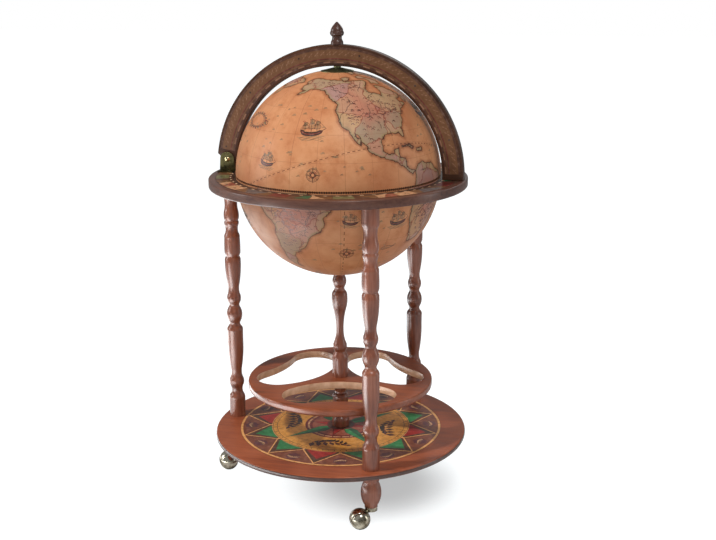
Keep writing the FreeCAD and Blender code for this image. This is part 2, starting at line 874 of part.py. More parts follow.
def make_hinge():
    wall = size["bracket_wall"]
    half_length = size["bracket_length"] / 2.0
    cheek = size["cheek_radius"]
    pivot = size["hinge_height"]

    bracket = new_body()
    cheek_outline = [
        line_to(-half_length, nothing),
        line_to(half_length, nothing),
        line_to(half_length, wall),
        arc_to(cheek, pivot, cheek, 1.0),
        arc_to(nothing, pivot + cheek, cheek, 1.0),
        line_to(-cheek, pivot),
        line_to(-half_length, wall),
    ]
    pad(bracket, "XZ_Plane", [cheek_outline], [(nothing, pivot, pin_bore)], cheek_half * 2.0, symmetric=True)
    above = pivot + cheek + wall
    slot = [
        line_to(-half_length - wall, wall),
        line_to(half_length + wall, wall),
        line_to(half_length + wall, above),
        line_to(-half_length - wall, above),
    ]
    pocket(bracket, "XZ_Plane", [slot], [], slot_half * 2.0, symmetric=True)
    plate = [
        line_to(-half_length, -flange_half),
        line_to(half_length, -flange_half),
        line_to(half_length, flange_half),
        line_to(-half_length, flange_half),
    ]
    pad(bracket, "XY_Plane", [plate], [], wall)
    pocket(bracket, "XY_Plane", [], [(x, y, screw_hole) for x, y in screw_spots], wall, back=True)
    place(bracket, x=-hinge_reach, z=print_top)
    keep(bracket, "hinge_bracket")

    half_pin = cheek_half + size["seat_clearance"]
    head = size["hinge_head_height"]
    head_radius = size["hinge_head_diameter"] / 2.0
    head_dome = dome_radius(head_radius, head)
    far_head = head + half_pin * 2.0
    pin = new_body()
    revolve(pin, [
        arc_to(nothing, nothing, head_dome, 1.0),
        line_to(head_radius, head),
        line_to(pin_radius, head),
        line_to(pin_radius, far_head),
        arc_to(head_radius, far_head, head_dome, 1.0),
        line_to(nothing, far_head + head),
    ])
    to_back = FreeCAD.Rotation(FreeCAD.Vector(1, 0, 0), -90.0)
    place(pin, -hinge_reach, -half_pin - head, sphere_centre + hinge_level, to_back)
    keep(pin, "hinge_pin")

    screws = []
    length = size["screw_length"]
    screw_head = size["screw_head_diameter"] / 2.0
    for x, y in screw_spots:
        screw = new_body()
        revolve(screw, [
            line_to(nothing, nothing),
            line_to(screw_radius, nothing),
            line_to(screw_radius, length),
            arc_to(screw_head, length, dome_radius(screw_head, size["screw_head_height"]), 1.0),
            line_to(nothing, length + size["screw_head_height"]),
        ])
        place(screw, x - hinge_reach, y, print_top + wall - length)
        screws.append(screw)
    keep(group(screws), "hinge_screws")


def make_pole():
    """Finial on the crown of the arch, and the rod on which the upper half hangs and turns."""
    crown_half = size["finial_seat_diameter"] * CROWN_SEAT_SHARE
    crown_level = sphere_centre + leg_of(arch_outer, crown_half)
    finial = new_body()
    rod_in_finial = size["pole_rod_in_finial"] + size["hole_clearance"]
    finial_bore = pole_rod_radius + size["hole_clearance"]
    finial_radius = size["finial_diameter"] / 2.0
    revolve(finial, turning(FINIAL_SHARES, size["finial_height"], finial_radius, finial_bore, rod_in_finial))
    place(finial, z=crown_level)
    keep(finial, "finial")

    radius = size["sphere_radius"]
    half = new_body()
    revolve(half, [
        arc_to(leg_of(radius, half_split), half_split, radius, 1.0),
        line_to(pole_bore, leg_of(radius, pole_bore)),
        arc_to(pole_bore, leg_of(sphere_inner, pole_bore), sphere_inner, -1.0),
        line_to(leg_of(sphere_inner, half_split), half_split),
    ])
    place(half, z=sphere_centre)
    keep(half, "upper_hemisphere")

    cap_radius = size["pole_cap_radius"]
    neck = size["pole_neck_diameter"] / 2.0
    cap_under = radius + size["seat_clearance"]
    cap_rim = leg_of(cap_under, cap_radius)
    neck_top = arch_inner - size["pole_clearance"]
    neck_foot = cap_under + (neck_top - cap_under) * POLE_CAP_SHARE
    cap = new_body()
    revolve(cap, [
        arc_to(cap_radius, cap_rim, cap_under, 1.0),
        line_to(pole_bore, leg_of(cap_under, pole_bore)),
        line_to(pole_bore, neck_top),
        line_to(neck, neck_top),
        line_to(neck, neck_foot),
        line_to(cap_radius, cap_rim + size["pole_cap_rim"]),
    ])
    place(cap, z=sphere_centre)
    keep(cap, "pole_cap")

    hub_over = sphere_inner - size["seat_clearance"]
    hub_radius = size["pole_hub_radius"]
    hub_rim = leg_of(hub_over, hub_radius)
    hub_under = hub_over - size["pole_hub_height"]
    hub = new_body()
    revolve(hub, [
        line_to(pole_bore, hub_under),
        line_to(hub_radius, hub_under),
        arc_to(hub_radius, hub_rim, hub_over, 1.0),
        line_to(pole_bore, leg_of(hub_over, pole_bore)),
    ])
    place(hub, z=sphere_centre)
    keep(hub, "pole_hub")

    nut_top = sphere_centre + hub_under - size["seat_clearance"]
    nut_under = nut_top - size["pole_nut_height"]
    rod_under = nut_under - size["rod_tail"]
    rod_top = crown_level + size["pole_rod_in_finial"]
    keep(cylinder(pole_rod_radius, rod_top - rod_under, z=rod_under), "pole_rod")
    nut = hex_nut(size["pole_nut_radius"], size["pole_nut_height"], pole_bore, nut_under)
    keep(nut, "pole_nut")


# Ball casters: the slanted axle points down and out to the wheel's side
tilt = math.radians(AXLE_TILT)
side_angle = math.radians(CASTER_TRAIL_ANGLE + 90.0)
axle_way = FreeCAD.Vector(
    math.cos(side_angle) * math.cos(tilt), math.sin(side_angle) * math.cos(tilt), -math.sin(tilt))
axle_turn = FreeCAD.Rotation(FreeCAD.Vector(0, 0, 1), axle_way)
half_gap = size["wheel_gap"] / 2.0
wheel_rim = size["wheel_radius"]
wheel_dome = size["wheel_dome"]
ball_radius = dome_radius(wheel_rim, wheel_dome)
ball_offset = half_gap + wheel_dome - ball_radius
ball_level = ball_radius + ball_offset * math.sin(tilt)
axle_radius = size["axle_diameter"] / 2.0


def make_casters():
    trail_x, trail_y = along(size["caster_trail"], CASTER_TRAIL_ANGLE)
    web_x, web_y = along(size["web_offset"], CASTER_TRAIL_ANGLE - 90.0)
    trail = math.radians(CASTER_TRAIL_ANGLE)
    trail_turn = FreeCAD.Rotation(
        FreeCAD.Vector(0, 0, 1), FreeCAD.Vector(math.cos(trail), math.sin(trail), 0))
    collar_radius = size["collar_diameter"] / 2.0
    collar_top = size["caster_height"] - size["socket_flange_thickness"] - size["collar_clearance"]
    collar_under = collar_top - size["collar_thickness"]
    stem_top = size["caster_height"] + size["stem_length"] - size["seat_clearance"]
    axle_bore = axle_radius + size["running_fit"]
    axle_end = half_gap + size["axle_length"]
    for name, (x, y) in leg_spots.items():
        ball_x = x + trail_x
        ball_y = y + trail_y
        cap = new_body()
        revolve(cap, [
            arc_to(nothing, -half_gap - wheel_dome, ball_radius, 1.0),
            line_to(wheel_rim, -half_gap),
            line_to(axle_radius, -half_gap),
            line_to(axle_radius, axle_end),
            line_to(nothing, axle_end),
        ])
        place(cap, ball_x, ball_y, ball_level, axle_turn)
        collar = cylinder(collar_radius, size["collar_thickness"], x, y, collar_under)
        stem = cylinder(stem_radius, stem_top - collar_under, x, y, collar_under)
        web = cylinder(
            size["web_diameter"] / 2.0, size["caster_trail"],
            x + web_x, y + web_y, ball_level + size["web_rise"], trail_turn)
        keep(fuse([cap, collar, stem, web]), f"caster_hood_{name}")
        wheel = new_body()
        bore_end = axle_end + size["seat_clearance"]
        revolve(wheel, [
            line_to(axle_bore, half_gap),
            arc_to(wheel_rim, half_gap, ball_radius, 1.0),
            line_to(nothing, half_gap + wheel_dome),
            line_to(nothing, bore_end),
            line_to(axle_bore, bore_end),
        ])
        place(wheel, ball_x, ball_y, ball_level, axle_turn)
        keep(wheel, f"caster_wheel_{name}")


make_base()
make_legs()
make_shelf()
make_column()
make_ring()
make_lower_half()
make_rack()
make_arch()
make_hinge()
make_pole()
make_casters()
doc.recompute()

for item in doc.Objects:
    if "Invalid" in item.State or "Error" in item.State:
        raise RuntimeError(f"{item.Label} failed: {item.State}")
for item in parts:
    if item.Shape.isNull() or not item.Shape.isValid():
        raise RuntimeError(f"{item.Label} has no valid shape")

os.makedirs("parts", exist_ok=True)
for item in parts:
    item.Shape.exportStep(os.path.join("parts", f"{item.Label}.step"))
print(len(parts), "sub-parts written")
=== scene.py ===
import json
import math

import bpy
import numpy as np
from mathutils import Matrix, Vector
from mathutils.geometry import delaunay_2d_cdt


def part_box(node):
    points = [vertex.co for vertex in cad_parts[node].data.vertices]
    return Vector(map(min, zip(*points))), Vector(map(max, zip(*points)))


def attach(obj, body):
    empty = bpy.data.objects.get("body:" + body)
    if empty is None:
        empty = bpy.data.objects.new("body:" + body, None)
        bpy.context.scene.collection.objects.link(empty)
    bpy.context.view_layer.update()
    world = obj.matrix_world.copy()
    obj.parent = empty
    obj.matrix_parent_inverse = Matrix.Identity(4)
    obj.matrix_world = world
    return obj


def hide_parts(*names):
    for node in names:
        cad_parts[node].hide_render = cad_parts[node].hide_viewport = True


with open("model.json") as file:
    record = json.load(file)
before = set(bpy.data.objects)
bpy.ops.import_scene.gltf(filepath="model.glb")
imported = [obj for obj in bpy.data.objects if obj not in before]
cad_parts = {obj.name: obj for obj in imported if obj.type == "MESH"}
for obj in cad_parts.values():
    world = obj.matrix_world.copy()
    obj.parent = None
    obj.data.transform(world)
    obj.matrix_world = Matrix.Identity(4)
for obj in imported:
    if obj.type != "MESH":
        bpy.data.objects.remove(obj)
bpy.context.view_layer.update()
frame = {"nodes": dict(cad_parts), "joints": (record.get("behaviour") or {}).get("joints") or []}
nodes = frame["nodes"]
joints = {joint["name"]: joint for joint in frame["joints"]}
SIDES = ("left", "front", "right")

# How finely round forms are drawn
TURN_STEPS = 72
WIDE_TURN_STEPS = 200
GLOBE_STEPS = 400
GLOBE_ROW_DEGREES = 0.9
ARC_STEPS = 7
EDGE_STEPS = 4
SHARP_EDGE = math.radians(32.0)
MERGE_REACH = 1e-7

# Turned outlines: share of the length, share of the largest radius, bulge of the span that
# follows (sagitta over half the chord, outward positive).
LEG_SHARES = (
    (0.0, 1.0, 0.0), (0.075, 1.0, 0.2), (0.099, 0.818, -0.2), (0.134, 0.803, 0.27), (0.17, 0.788, -0.12),
    (0.209, 0.712, 0.05), (0.331, 0.988, 0.0), (0.371, 1.0, 0.25), (0.391, 0.788, -0.33),
    (0.414, 0.788, 0.24), (0.469, 0.758, -0.31), (0.491, 0.742, 0.22), (0.527, 0.758, -0.1),
    (0.56, 0.697, 0.05), (0.659, 0.994, 0.0), (0.675, 0.982, 0.0), (0.686, 0.833, 0.0),
    (0.698, 0.982, 0.0), (0.71, 0.994, 0.02), (0.761, 0.958, 0.2), (0.781, 0.818, -0.12),
    (0.809, 0.788, 0.1), (0.825, 0.903, 0.0), (0.833, 0.824, 0.0), (0.842, 0.921, 0.1),
    (0.88, 0.818, -0.09), (0.923, 0.848, 0.15), (0.943, 1.0, 0.0), (1.0, 1.0, 0.0),
)
FOOT_SHARES = (
    (0.0, 0.6, 0.0), (0.05, 0.63, 0.27), (0.78, 0.71, -0.3), (0.82, 0.785, 0.0), (1.0, 0.785, 0.0),
)
COLUMN_UPPER_SHARES = (
    (0.0, 0.97, 0.0), (0.17, 1.0, 0.2), (0.235, 0.75, 0.0), (0.245, 0.69, 0.0), (0.255, 0.75, 0.25),
    (0.335, 0.75, -0.08), (0.43, 0.49, 0.0), (0.48, 0.48, -0.06), (0.66, 0.84, 0.1), (0.78, 0.98, 0.22),
    (0.83, 0.7, -0.25), (0.87, 0.7, 0.3), (0.975, 0.62, 0.0), (1.0, 0.6, 0.0),
)
COLUMN_LOWER_SHARES = (
    (0.0, 1.0, 0.0), (0.1, 1.0, 0.3), (0.23, 0.72, -0.15), (0.4, 0.64, 0.12), (0.68, 0.92, 0.3),
    (0.78, 0.66, -0.2), (0.85, 0.66, 0.3), (0.95, 0.7, 0.0), (1.0, 0.8, 0.0),
)
FINIAL_SHARES = (
    (0.0, 0.9, 0.0), (0.13, 0.87, -0.15), (0.29, 0.68, 0.0), (0.36, 0.7, 0.5), (0.6, 0.88, 0.1),
    (0.7, 0.82, 0.08), (0.95, 0.24, 0.15), (1.0, 0.07, 0.0),
)


# Meshes

def arc_points(start, end, bulge):
    """Points from start to just before end, along an arc that bulges right of its way."""
    first = np.array(start)
    last = np.array(end)
    if bulge == 0.0:
        return [tuple(first)]
    way = last - first
    chord = np.linalg.norm(way)
    way = way / chord
    right = np.array((way[1], -way[0])) * math.copysign(1.0, bulge)
    half = 2.0 * math.atan(abs(bulge))
    radius = chord / (2.0 * math.sin(half))
    middle = (first + last) / 2.0
    points = []
    for turn in np.linspace(-half, half, ARC_STEPS, endpoint=False):
        outward = radius * (math.cos(turn) - math.cos(half))
        points.append(tuple(middle + right * outward + way * (radius * math.sin(turn))))
    return points


def turned(shares, length, radius):
    """The side of a turned piece, from its foot to its top, as (radius, height) points."""
    corners = [(radius * across, length * up) for up, across, _ in shares]
    points = []
    for corner, following, share in zip(corners, corners[1:], shares):
        points += arc_points(corner, following, share[2])
    return points + [corners[-1]]


def round_arc(centre, radius, start, end, steps):
    """Points of an arc about a centre, from one angle in degrees to another."""
    turns = np.radians(np.linspace(start, end, steps))
    return [(centre[0] + radius * math.cos(t), centre[1] + radius * math.sin(t)) for t in turns]


def circle(radius, steps=WIDE_TURN_STEPS, centre=(0.0, 0.0)):
    return round_arc(centre, radius, 0.0, 360.0, steps + 1)[:-1]


def mesh_of(name, vertices, faces, paint_indices=None):
    mesh = bpy.data.meshes.new(name)
    mesh.from_pydata([tuple(v) for v in vertices], [], faces)
    if paint_indices is not None:
        mesh.polygons.foreach_set("material_index", paint_indices)
    mesh.shade_smooth()
    mesh.set_sharp_from_angle(angle=SHARP_EDGE)
    mesh.update()
    return mesh


def lathe(outline, steps=TURN_STEPS):
    """Vertices and faces of an anticlockwise (radius, height) outline turned about Z.

    The outline either starts and ends on the axis or closes on itself."""
    turns = np.linspace(0.0, 2.0 * math.pi, steps, endpoint=False)
    vertices = []
    rows = []
    for radius, height in outline:
        first = len(vertices)
        if radius <= 0.0:
            vertices.append((0.0, 0.0, height))
            rows.append([first] * steps)
        else:
            vertices += [(radius * math.cos(t), radius * math.sin(t), height) for t in turns]
            rows.append(list(range(first, first + steps)))
    pairs = list(zip(rows, rows[1:]))
    if outline[0][0] > 0.0:
        pairs.append((rows[-1], rows[0]))
    faces = []
    for low, high in pairs:
        for step in range(steps):
            after = (step + 1) % steps
            corners = (low[step], low[after], high[after], high[step])
            face = tuple(dict.fromkeys(corners))
            if len(face) > 2:
                faces.append(face)
    return vertices, faces


def inside(polygon, points):
    """Which of the points lie in the polygon."""
    corners = np.array(polygon)
    result = np.zeros(len(points), bool)
    for (x0, y0), (x1, y1) in zip(corners, np.roll(corners, -1, axis=0)):
        if y0 == y1:
            continue
        crosses = (y0 > points[:, 1]) != (y1 > points[:, 1])
        result ^= crosses & (points[:, 0] < x0 + (points[:, 1] - y0) * (x1 - x0) / (y1 - y0))
    return result


def inset(polygon, distance):
    """The outline moved inwards by a distance at every corner; it runs anticlockwise."""
    corners = np.array(polygon)
    before = corners - np.roll(corners, 1, axis=0)
    after = np.roll(corners, -1, axis=0) - corners
    before /= np.linalg.norm(before, axis=1)[:, None]
    after /= np.linalg.norm(after, axis=1)[:, None]
    left_before = np.stack((-before[:, 1], before[:, 0]), axis=1)
    left_after = np.stack((-after[:, 1], after[:, 0]), axis=1)
    middle = left_before + left_after
    reach = 2.0 / np.sum(middle * middle, axis=1)
    return [tuple(p) for p in corners + middle * (reach * distance)[:, None]]


def slab(outlines, thickness, shapes=()):
    """A flat board from 0 up to its thickness.

    outlines holds (anticlockwise polygon, edge radius), the rim first and then its holes; shapes
    holds (polygon, paint index) painted on the top from under to over."""
    sign = [1.0] + [-1.0] * (len(outlines) - 1)
    flat = [inset(polygon, edge * way) if edge else polygon
            for (polygon, edge), way in zip(outlines, sign)]
    loops = flat + [polygon for polygon, _ in shapes]
    points = []
    edges = []
    for loop in loops:
        first = len(points)
        points += [Vector(point) for point in loop]
        edges += [(first + i, first + (i + 1) % len(loop)) for i in range(len(loop))]
    spots, _, cells, origins, _, _ = delaunay_2d_cdt(points, edges, [], 0, MERGE_REACH)
    middles = np.array([np.mean([spots[i] for i in cell], axis=0) for cell in cells])
    kept = inside(flat[0], middles)
    for hole in flat[1:]:
        kept &= ~inside(hole, middles)
    painted = np.zeros(len(cells), int)
    for polygon, paint in shapes:
        painted[inside(polygon, middles)] = paint
    new_index = {old: spot for spot, olds in enumerate(origins) for old in olds}
    count = len(spots)
    vertices = [(p.x, p.y, thickness) for p in spots] + [(p.x, p.y, 0.0) for p in spots]
    faces = []
    paints = []
    for cell, paint, keep in zip(cells, painted, kept):
        if keep:
            faces += [tuple(cell), tuple(count + i for i in reversed(cell))]
            paints += [int(paint), 0]
    start = 0
    for (polygon, edge), way in zip(outlines, sign):
        size = len(polygon)
        rows = [[count + new_index[start + i] for i in range(size)]]
        if edge:
            for bottom in (True, False):
                turns = np.linspace(0.0, math.pi / 2.0, EDGE_STEPS)
                for turn in turns[1:] if bottom else reversed(turns[1:]):
                    reach = edge * (1.0 - math.sin(turn)) * way
                    drop = edge * (1.0 - math.cos(turn))
                    level = drop if bottom else thickness - drop
                    first = len(vertices)
                    vertices += [(x, y, level) for x, y in inset(polygon, reach)]
                    rows.append(list(range(first, first + size)))
        rows.append([new_index[start + i] for i in range(size)])
        for low, high in zip(rows, rows[1:]):
            for i in range(size):
                after = (i + 1) % size
                face = (low[i], low[after], high[after], high[i])
                faces.append(face if way > 0.0 else face[::-1])
                paints.append(0)
        start += size
    used = sorted({i for face in faces for i in face})
    renumbered = {old: new for new, old in enumerate(used)}
    faces = [tuple(renumbered[i] for i in face) for face in faces]
    return [vertices[i] for i in used], faces, paints


def moved(vertices, matrix):
    return [matrix @ Vector(v) for v in vertices]


def lifted(height):
    return Matrix.Translation((0.0, 0.0, height))


def add_piece(name, mesh, body, materials, node=None):
    for material in materials:
        mesh.materials.append(material)
    piece = bpy.data.objects.new(name, mesh)
    bpy.context.scene.collection.objects.link(piece)
    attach(piece, body)
    if node:
        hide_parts(node)


def add_lathe(name, outline, body, material, node, spot=(0.0, 0.0, 0.0), steps=TURN_STEPS):
    vertices, faces = lathe(outline, steps)
    mesh = mesh_of(name, moved(vertices, Matrix.Translation(spot)), faces)
    add_piece(name, mesh, body, [material], node)


def add_board(name, outlines, thickness, matrix, body, material, node):
    vertices, faces, _ = slab(outlines, thickness)
    add_piece(name, mesh_of(name, moved(vertices, matrix), faces), body, [material], node)


# Materials. Colours are display values from 0 to 255.

def colour_of(value):
    """What a colour socket takes: a node's output as it is, display values made linear."""
    if isinstance(value, Value):
        return value
    shares = [channel / 255.0 for channel in value]
    linear = [c / 12.92 if c <= 0.04045 else ((c + 0.055) / 1.055) ** 2.4 for c in shares]
    return (*linear, 1.0)


class Value:
    """One output of a node, with arithmetic that adds math nodes."""

    def __init__(self, paint, socket):
        self.paint = paint
        self.socket = socket

    def math(self, operation, *others):
        node = self.paint.add("ShaderNodeMath", operation=operation)
        for socket, value in zip(node.inputs, (self, *others)):
            self.paint.feed(socket, value)
        return Value(self.paint, node.outputs[0])

    def __add__(self, other):
        return self.math("ADD", other)

    def __sub__(self, other):
        return self.math("SUBTRACT", other)

    def __mul__(self, other):
        return self.math("MULTIPLY", other)

    def __truediv__(self, other):
        return self.math("DIVIDE", other)

    def __abs__(self):
        return self.math("ABSOLUTE")

    def spread(self, low, high, to_low=0.0, to_high=1.0):
        """The value mapped from one span to another, smooth and clamped."""
        node = self.paint.add("ShaderNodeMapRange", interpolation_type="SMOOTHSTEP")
        for socket, value in zip(node.inputs, (self, low, high, to_low, to_high)):
            self.paint.feed(socket, value)
        return Value(self.paint, node.outputs["Result"])


class Paint:
    """A node tree while it is put together."""

    def __init__(self, owner, shader):
        owner.use_nodes = True
        self.owner = owner
        self.tree = owner.node_tree
        self.shader = self.tree.nodes[shader]

    def add(self, kind, inputs=(), **settings):
        node = self.tree.nodes.new(kind)
        for key, value in settings.items():
            setattr(node, key, value)
        for key, value in dict(inputs).items():
            self.feed(node.inputs[key], value)
        return node

    def out(self, output, kind, inputs=(), **settings):
        """One output of a new node."""
        return Value(self, self.add(kind, inputs, **settings).outputs[output])

    def feed(self, socket, value):
        if isinstance(value, Value):
            self.tree.links.new(value.socket, socket)
        else:
            socket.default_value = value

    def set(self, **values):
        """Shader inputs by name, with _ for a space."""
        for key, value in values.items():
            self.feed(self.shader.inputs[key.replace("_", " ")], value)

    def ray(self, kind):
        """1 for rays of a kind."""
        return self.out(f"Is {kind} Ray", "ShaderNodeLightPath")

    def vector(self, operation, first, second=(0.0, 0.0, 0.0), output="Vector"):
        return self.out(output, "ShaderNodeVectorMath", {0: first, 1: second}, operation=operation)

    def parts(self, vector):
        """The X, Y and Z of a vector."""
        node = self.add("ShaderNodeSeparateXYZ", {"Vector": vector})
        return [Value(self, output) for output in node.outputs]

    def stretched(self, scale):
        return self.out(0, "ShaderNodeMapping", {"Vector": self.place, "Scale": scale})

    def noise(self, scale, detail=3.0, roughness=0.5, place=None, distortion=0.0):
        inputs = {"Vector": place or self.place, "Scale": scale, "Detail": detail,
                  "Roughness": roughness, "Distortion": distortion}
        return self.out("Fac", "ShaderNodeTexNoise", inputs)

    def blend(self, share, first, second, how="MIX"):
        inputs = {0: share, 6: colour_of(first), 7: colour_of(second)}
        return self.out(2, "ShaderNodeMix", inputs, data_type="RGBA", blend_type=how)

    def ramp(self, value, *stops):
        node = self.add("ShaderNodeValToRGB", {"Fac": value})
        ramp = node.color_ramp
        while len(ramp.elements) < len(stops):
            ramp.elements.new(1.0)
        for element, (position, colour) in zip(ramp.elements, stops):
            element.position = position
            element.color = colour_of(colour)
        return Value(self, node.outputs["Color"])

    def bump(self, height, strength, distance):
        inputs = {"Height": height, "Strength": strength, "Distance": distance}
        self.set(Normal=self.out(0, "ShaderNodeBump", inputs))


def new_paint(name):
    paint = Paint(bpy.data.materials.new(name), "Principled BSDF")
    paint.place = paint.out("Object", "ShaderNodeTexCoord")
    return paint


GRAIN_STRETCH = {"X": (0.06, 1.0, 1.0), "Y": (1.0, 0.06, 1.0), "Z": (1.0, 1.0, 0.06)}
# How upright a face is, from wall to top
WALL_SPAN = (0.45, 0.75)
PRINT_MOTTLING = 0.16


def wood_paint(paint, dark, middle, light, along, gloss):
    """Colour, sheen and pores of lacquered wood with its grain along one axis."""
    grain_place = paint.stretched(GRAIN_STRETCH[along])
    grain = paint.noise(140.0, 5.0, 0.55, grain_place, 0.5)
    pores = paint.noise(900.0, 2.0, 0.6, grain_place)
    figure = paint.noise(9.0) * 0.55 + grain * 0.5
    colour = paint.ramp(figure, (0.36, dark), (0.53, middle), (0.70, light))
    colour = paint.blend(pores.spread(0.58, 0.72, 0.0, 0.22), colour, dark, "MULTIPLY")
    paint.set(Roughness=grain.spread(0.3, 0.7, 0.5 - 0.2 * gloss, 0.6 - 0.2 * gloss))
    paint.set(Specular_IOR_Level=0.25, Coat_Weight=gloss, Coat_Roughness=0.24)
    paint.set(Coat_IOR=1.4 + 0.4 * gloss)
    paint.bump(grain - pores * 0.6, 0.04, 0.0005)
    return colour


def make_wood(name, dark, middle, light, along="Z", gloss=0.2):
    paint = new_paint(name)
    paint.set(Base_Color=wood_paint(paint, dark, middle, light, along, gloss))
    return paint.owner


def make_wood_with_painted_walls(name, tones, painted_wall_tones, reach_span, gloss):
    """Stained boards whose walls, between two distances from the middle, take a painted tone: painted shade
    on the base's rim, painted light in the shelf's openings.
    """
    paint = new_paint(name)
    stained = wood_paint(paint, *tones, "X", gloss)
    # The walls' tone is painted, not a colour of the wood: painted shade on the base's rim, painted light in
    # the shelf's openings
    edge = paint.ramp(paint.noise(60.0), (0.3, painted_wall_tones[0]), (0.7, painted_wall_tones[1]))
    upright = abs(paint.parts(paint.out("Normal", "ShaderNodeTexCoord"))[2])
    reach = paint.vector("LENGTH", paint.vector("MULTIPLY", paint.place, (1.0, 1.0, 0.0)), output="Value")
    painted_wall_share = upright.spread(*WALL_SPAN, 1.0, 0.0)
    for limit, side in zip(reach_span, ("GREATER_THAN", "LESS_THAN")):
        painted_wall_share = painted_wall_share * reach.math(side, limit)
    paint.set(Base_Color=paint.blend(painted_wall_share, stained, edge))
    paint.set(Coat_Weight=upright.spread(*WALL_SPAN, 1.0, gloss))
    return paint.owner


def make_print(name, ink, mottling=PRINT_MOTTLING):
    """Varnished printed paper of one ink, mottled and a little worn."""
    paint = new_paint(name)
    pale = [channel + (255 - channel) * mottling for channel in ink]
    deep = [channel * (1.0 - 1.4 * mottling) for channel in ink]
    mottle = paint.noise(120.0, 5.0, 0.65)
    paint.set(Base_Color=paint.ramp(mottle, (0.32, deep), (0.5, ink), (0.7, pale)))
    paint.set(Roughness=mottle.spread(0.3, 0.7, 0.4, 0.52), Coat_Weight=0.12, Coat_Roughness=0.15)
    paint.bump(paint.noise(1800.0, 2.0), 0.03, 0.0003)
    return paint.owner


def make_brass(name, bright, dull, low_roughness, high_roughness):
    """Aged brass: clear metal with clouded, darker patches and fine scratches."""
    paint = new_paint(name)
    cloud = paint.noise(70.0, 4.0, 0.6)
    scratch = paint.noise(500.0, 2.0, 0.5, paint.stretched((1.0, 1.0, 0.15)))
    paint.set(Base_Color=paint.ramp(cloud, (0.35, dull), (0.62, bright)), Metallic=1.0)
    paint.set(Roughness=cloud.spread(0.35, 0.65, high_roughness, low_roughness))
    paint.bump(scratch, 0.04, 0.0002)
    return paint.owner


def make_steel(name):
    paint = new_paint(name)
    marks = paint.noise(700.0, 2.0, 0.5, paint.stretched((0.2, 0.2, 1.0)))
    paint.set(Base_Color=paint.ramp(marks, (0.3, (150, 148, 142)), (0.7, (196, 194, 188))))
    paint.set(Metallic=1.0, Roughness=marks.spread(0.3, 0.7, 0.28, 0.42))
    return paint.owner


def make_plastic(name):
    paint = new_paint(name)
    grain = paint.noise(900.0, 2.0)
    paint.set(Base_Color=paint.ramp(grain, (0.3, (34, 30, 28)), (0.7, (48, 43, 40))))
    paint.set(Roughness=grain.spread(0.3, 0.7, 0.45, 0.6))
    return paint.owner


leg_wood = make_wood("leg_wood", (96, 48, 32), (134, 76, 54), (158, 98, 74), gloss=0.7)
# The base's rim takes a darker tone: painted shade, where the rounded rim faces down and out
base_wood = make_wood_with_painted_walls("base_wood", ((118, 58, 36), (147, 76, 47), (166, 92, 60)),
                            ((66, 42, 35), (84, 55, 46)), (0.2, 0.3), 0.25)
ring_wood = make_wood("ring_wood", (66, 36, 28), (90, 56, 44), (110, 72, 58), "X", 0.5)
arch_wood = make_wood("arch_wood", (44, 26, 16), (64, 38, 24), (84, 52, 34), "X", 0.3)
finial_wood = make_wood("finial_wood", (40, 22, 18), (60, 36, 28), (84, 52, 40), gloss=0.5)
rack_wood = make_wood("rack_wood", (104, 58, 36), (138, 84, 54), (162, 106, 72), "Y")
# The walls of the shelf's openings take a pale cream tone: painted light
shelf_wood = make_wood_with_painted_walls("shelf_wood", ((106, 54, 31), (138, 72, 43), (156, 86, 54)),
                             ((200, 154, 120), (230, 188, 154)), (0.0, 0.18), 0.2)
caster_brass = make_brass("caster_brass", (222, 216, 196), (112, 104, 84), 0.08, 0.22)
hinge_brass = make_brass("hinge_brass", (126, 118, 80), (66, 62, 40), 0.26, 0.45)
pin_brass = make_brass("pin_brass", (232, 220, 176), (176, 160, 112), 0.14, 0.28)
cap_bronze = make_brass("cap_bronze", (158, 158, 118), (98, 104, 76), 0.34, 0.52)
rod_steel = make_steel("rod_steel")
hub_plastic = make_plastic("hub_plastic")
# The globe's lip in the ring's rabbet is painted dark: painted shade for the shaded gap between globe and
# ring
painted_lip_shade = make_print("painted_lip_shade", (62, 40, 30))
lining = make_print("lining", (132, 72, 46))


# The stand

BASE_EDGE = 0.0045
SHELF_EDGE = 0.004
SHELF_HOLE_EDGE = 0.0015
RING_EDGE = 0.0025
RING_BORE = 0.2006
RING_RABBET = 0.2056
LIP_LEVELS = (0.639, 0.642)
LEG_RADIUS = 0.0165
FOOT_RADIUS = 0.020
COLUMN_RADIUS = 0.016
COLUMN_FOOT_RADIUS = 0.0175
base_low, base_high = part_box("base_board")
ring_low, ring_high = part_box("horizon_ring")
shelf_low, shelf_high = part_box("bottle_shelf")
column_low, column_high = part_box("column_upper")


def rounded_rim(radius, low, high, edge):
    """Points up a rim with both edges rounded."""
    points = round_arc((radius - edge, low + edge), edge, -90.0, 0.0, 2 * EDGE_STEPS)
    return points + round_arc((radius - edge, high - edge), edge, 0.0, 90.0, 2 * EDGE_STEPS)


def add_turned(node, shares, length, radius, body="stand", material=leg_wood):
    low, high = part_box(node)
    outline = [(0.0, 0.0)] + turned(shares, length, radius) + [(0.0, length)]
    spot = ((low.x + high.x) / 2.0, (low.y + high.y) / 2.0, low.z)
    add_lathe(f"turned_{node}", outline, body, material, node, spot)


base_outline = [(0.0, base_low.z)]
base_outline += rounded_rim(base_high.x, base_low.z, base_high.z, BASE_EDGE)
base_outline += [(0.0, base_high.z)]
add_lathe("round_base", base_outline, "stand", base_wood, "base_board", steps=WIDE_TURN_STEPS)

ring_outline = [(RING_BORE, ring_low.z)]
ring_outline += rounded_rim(ring_high.x, ring_low.z, ring_high.z, RING_EDGE)
ring_outline += [(RING_RABBET, ring_high.z), (RING_RABBET, LIP_LEVELS[0]), (RING_BORE, LIP_LEVELS[0])]
add_lathe("round_ring", ring_outline, "stand", ring_wood, "horizon_ring", steps=WIDE_TURN_STEPS)

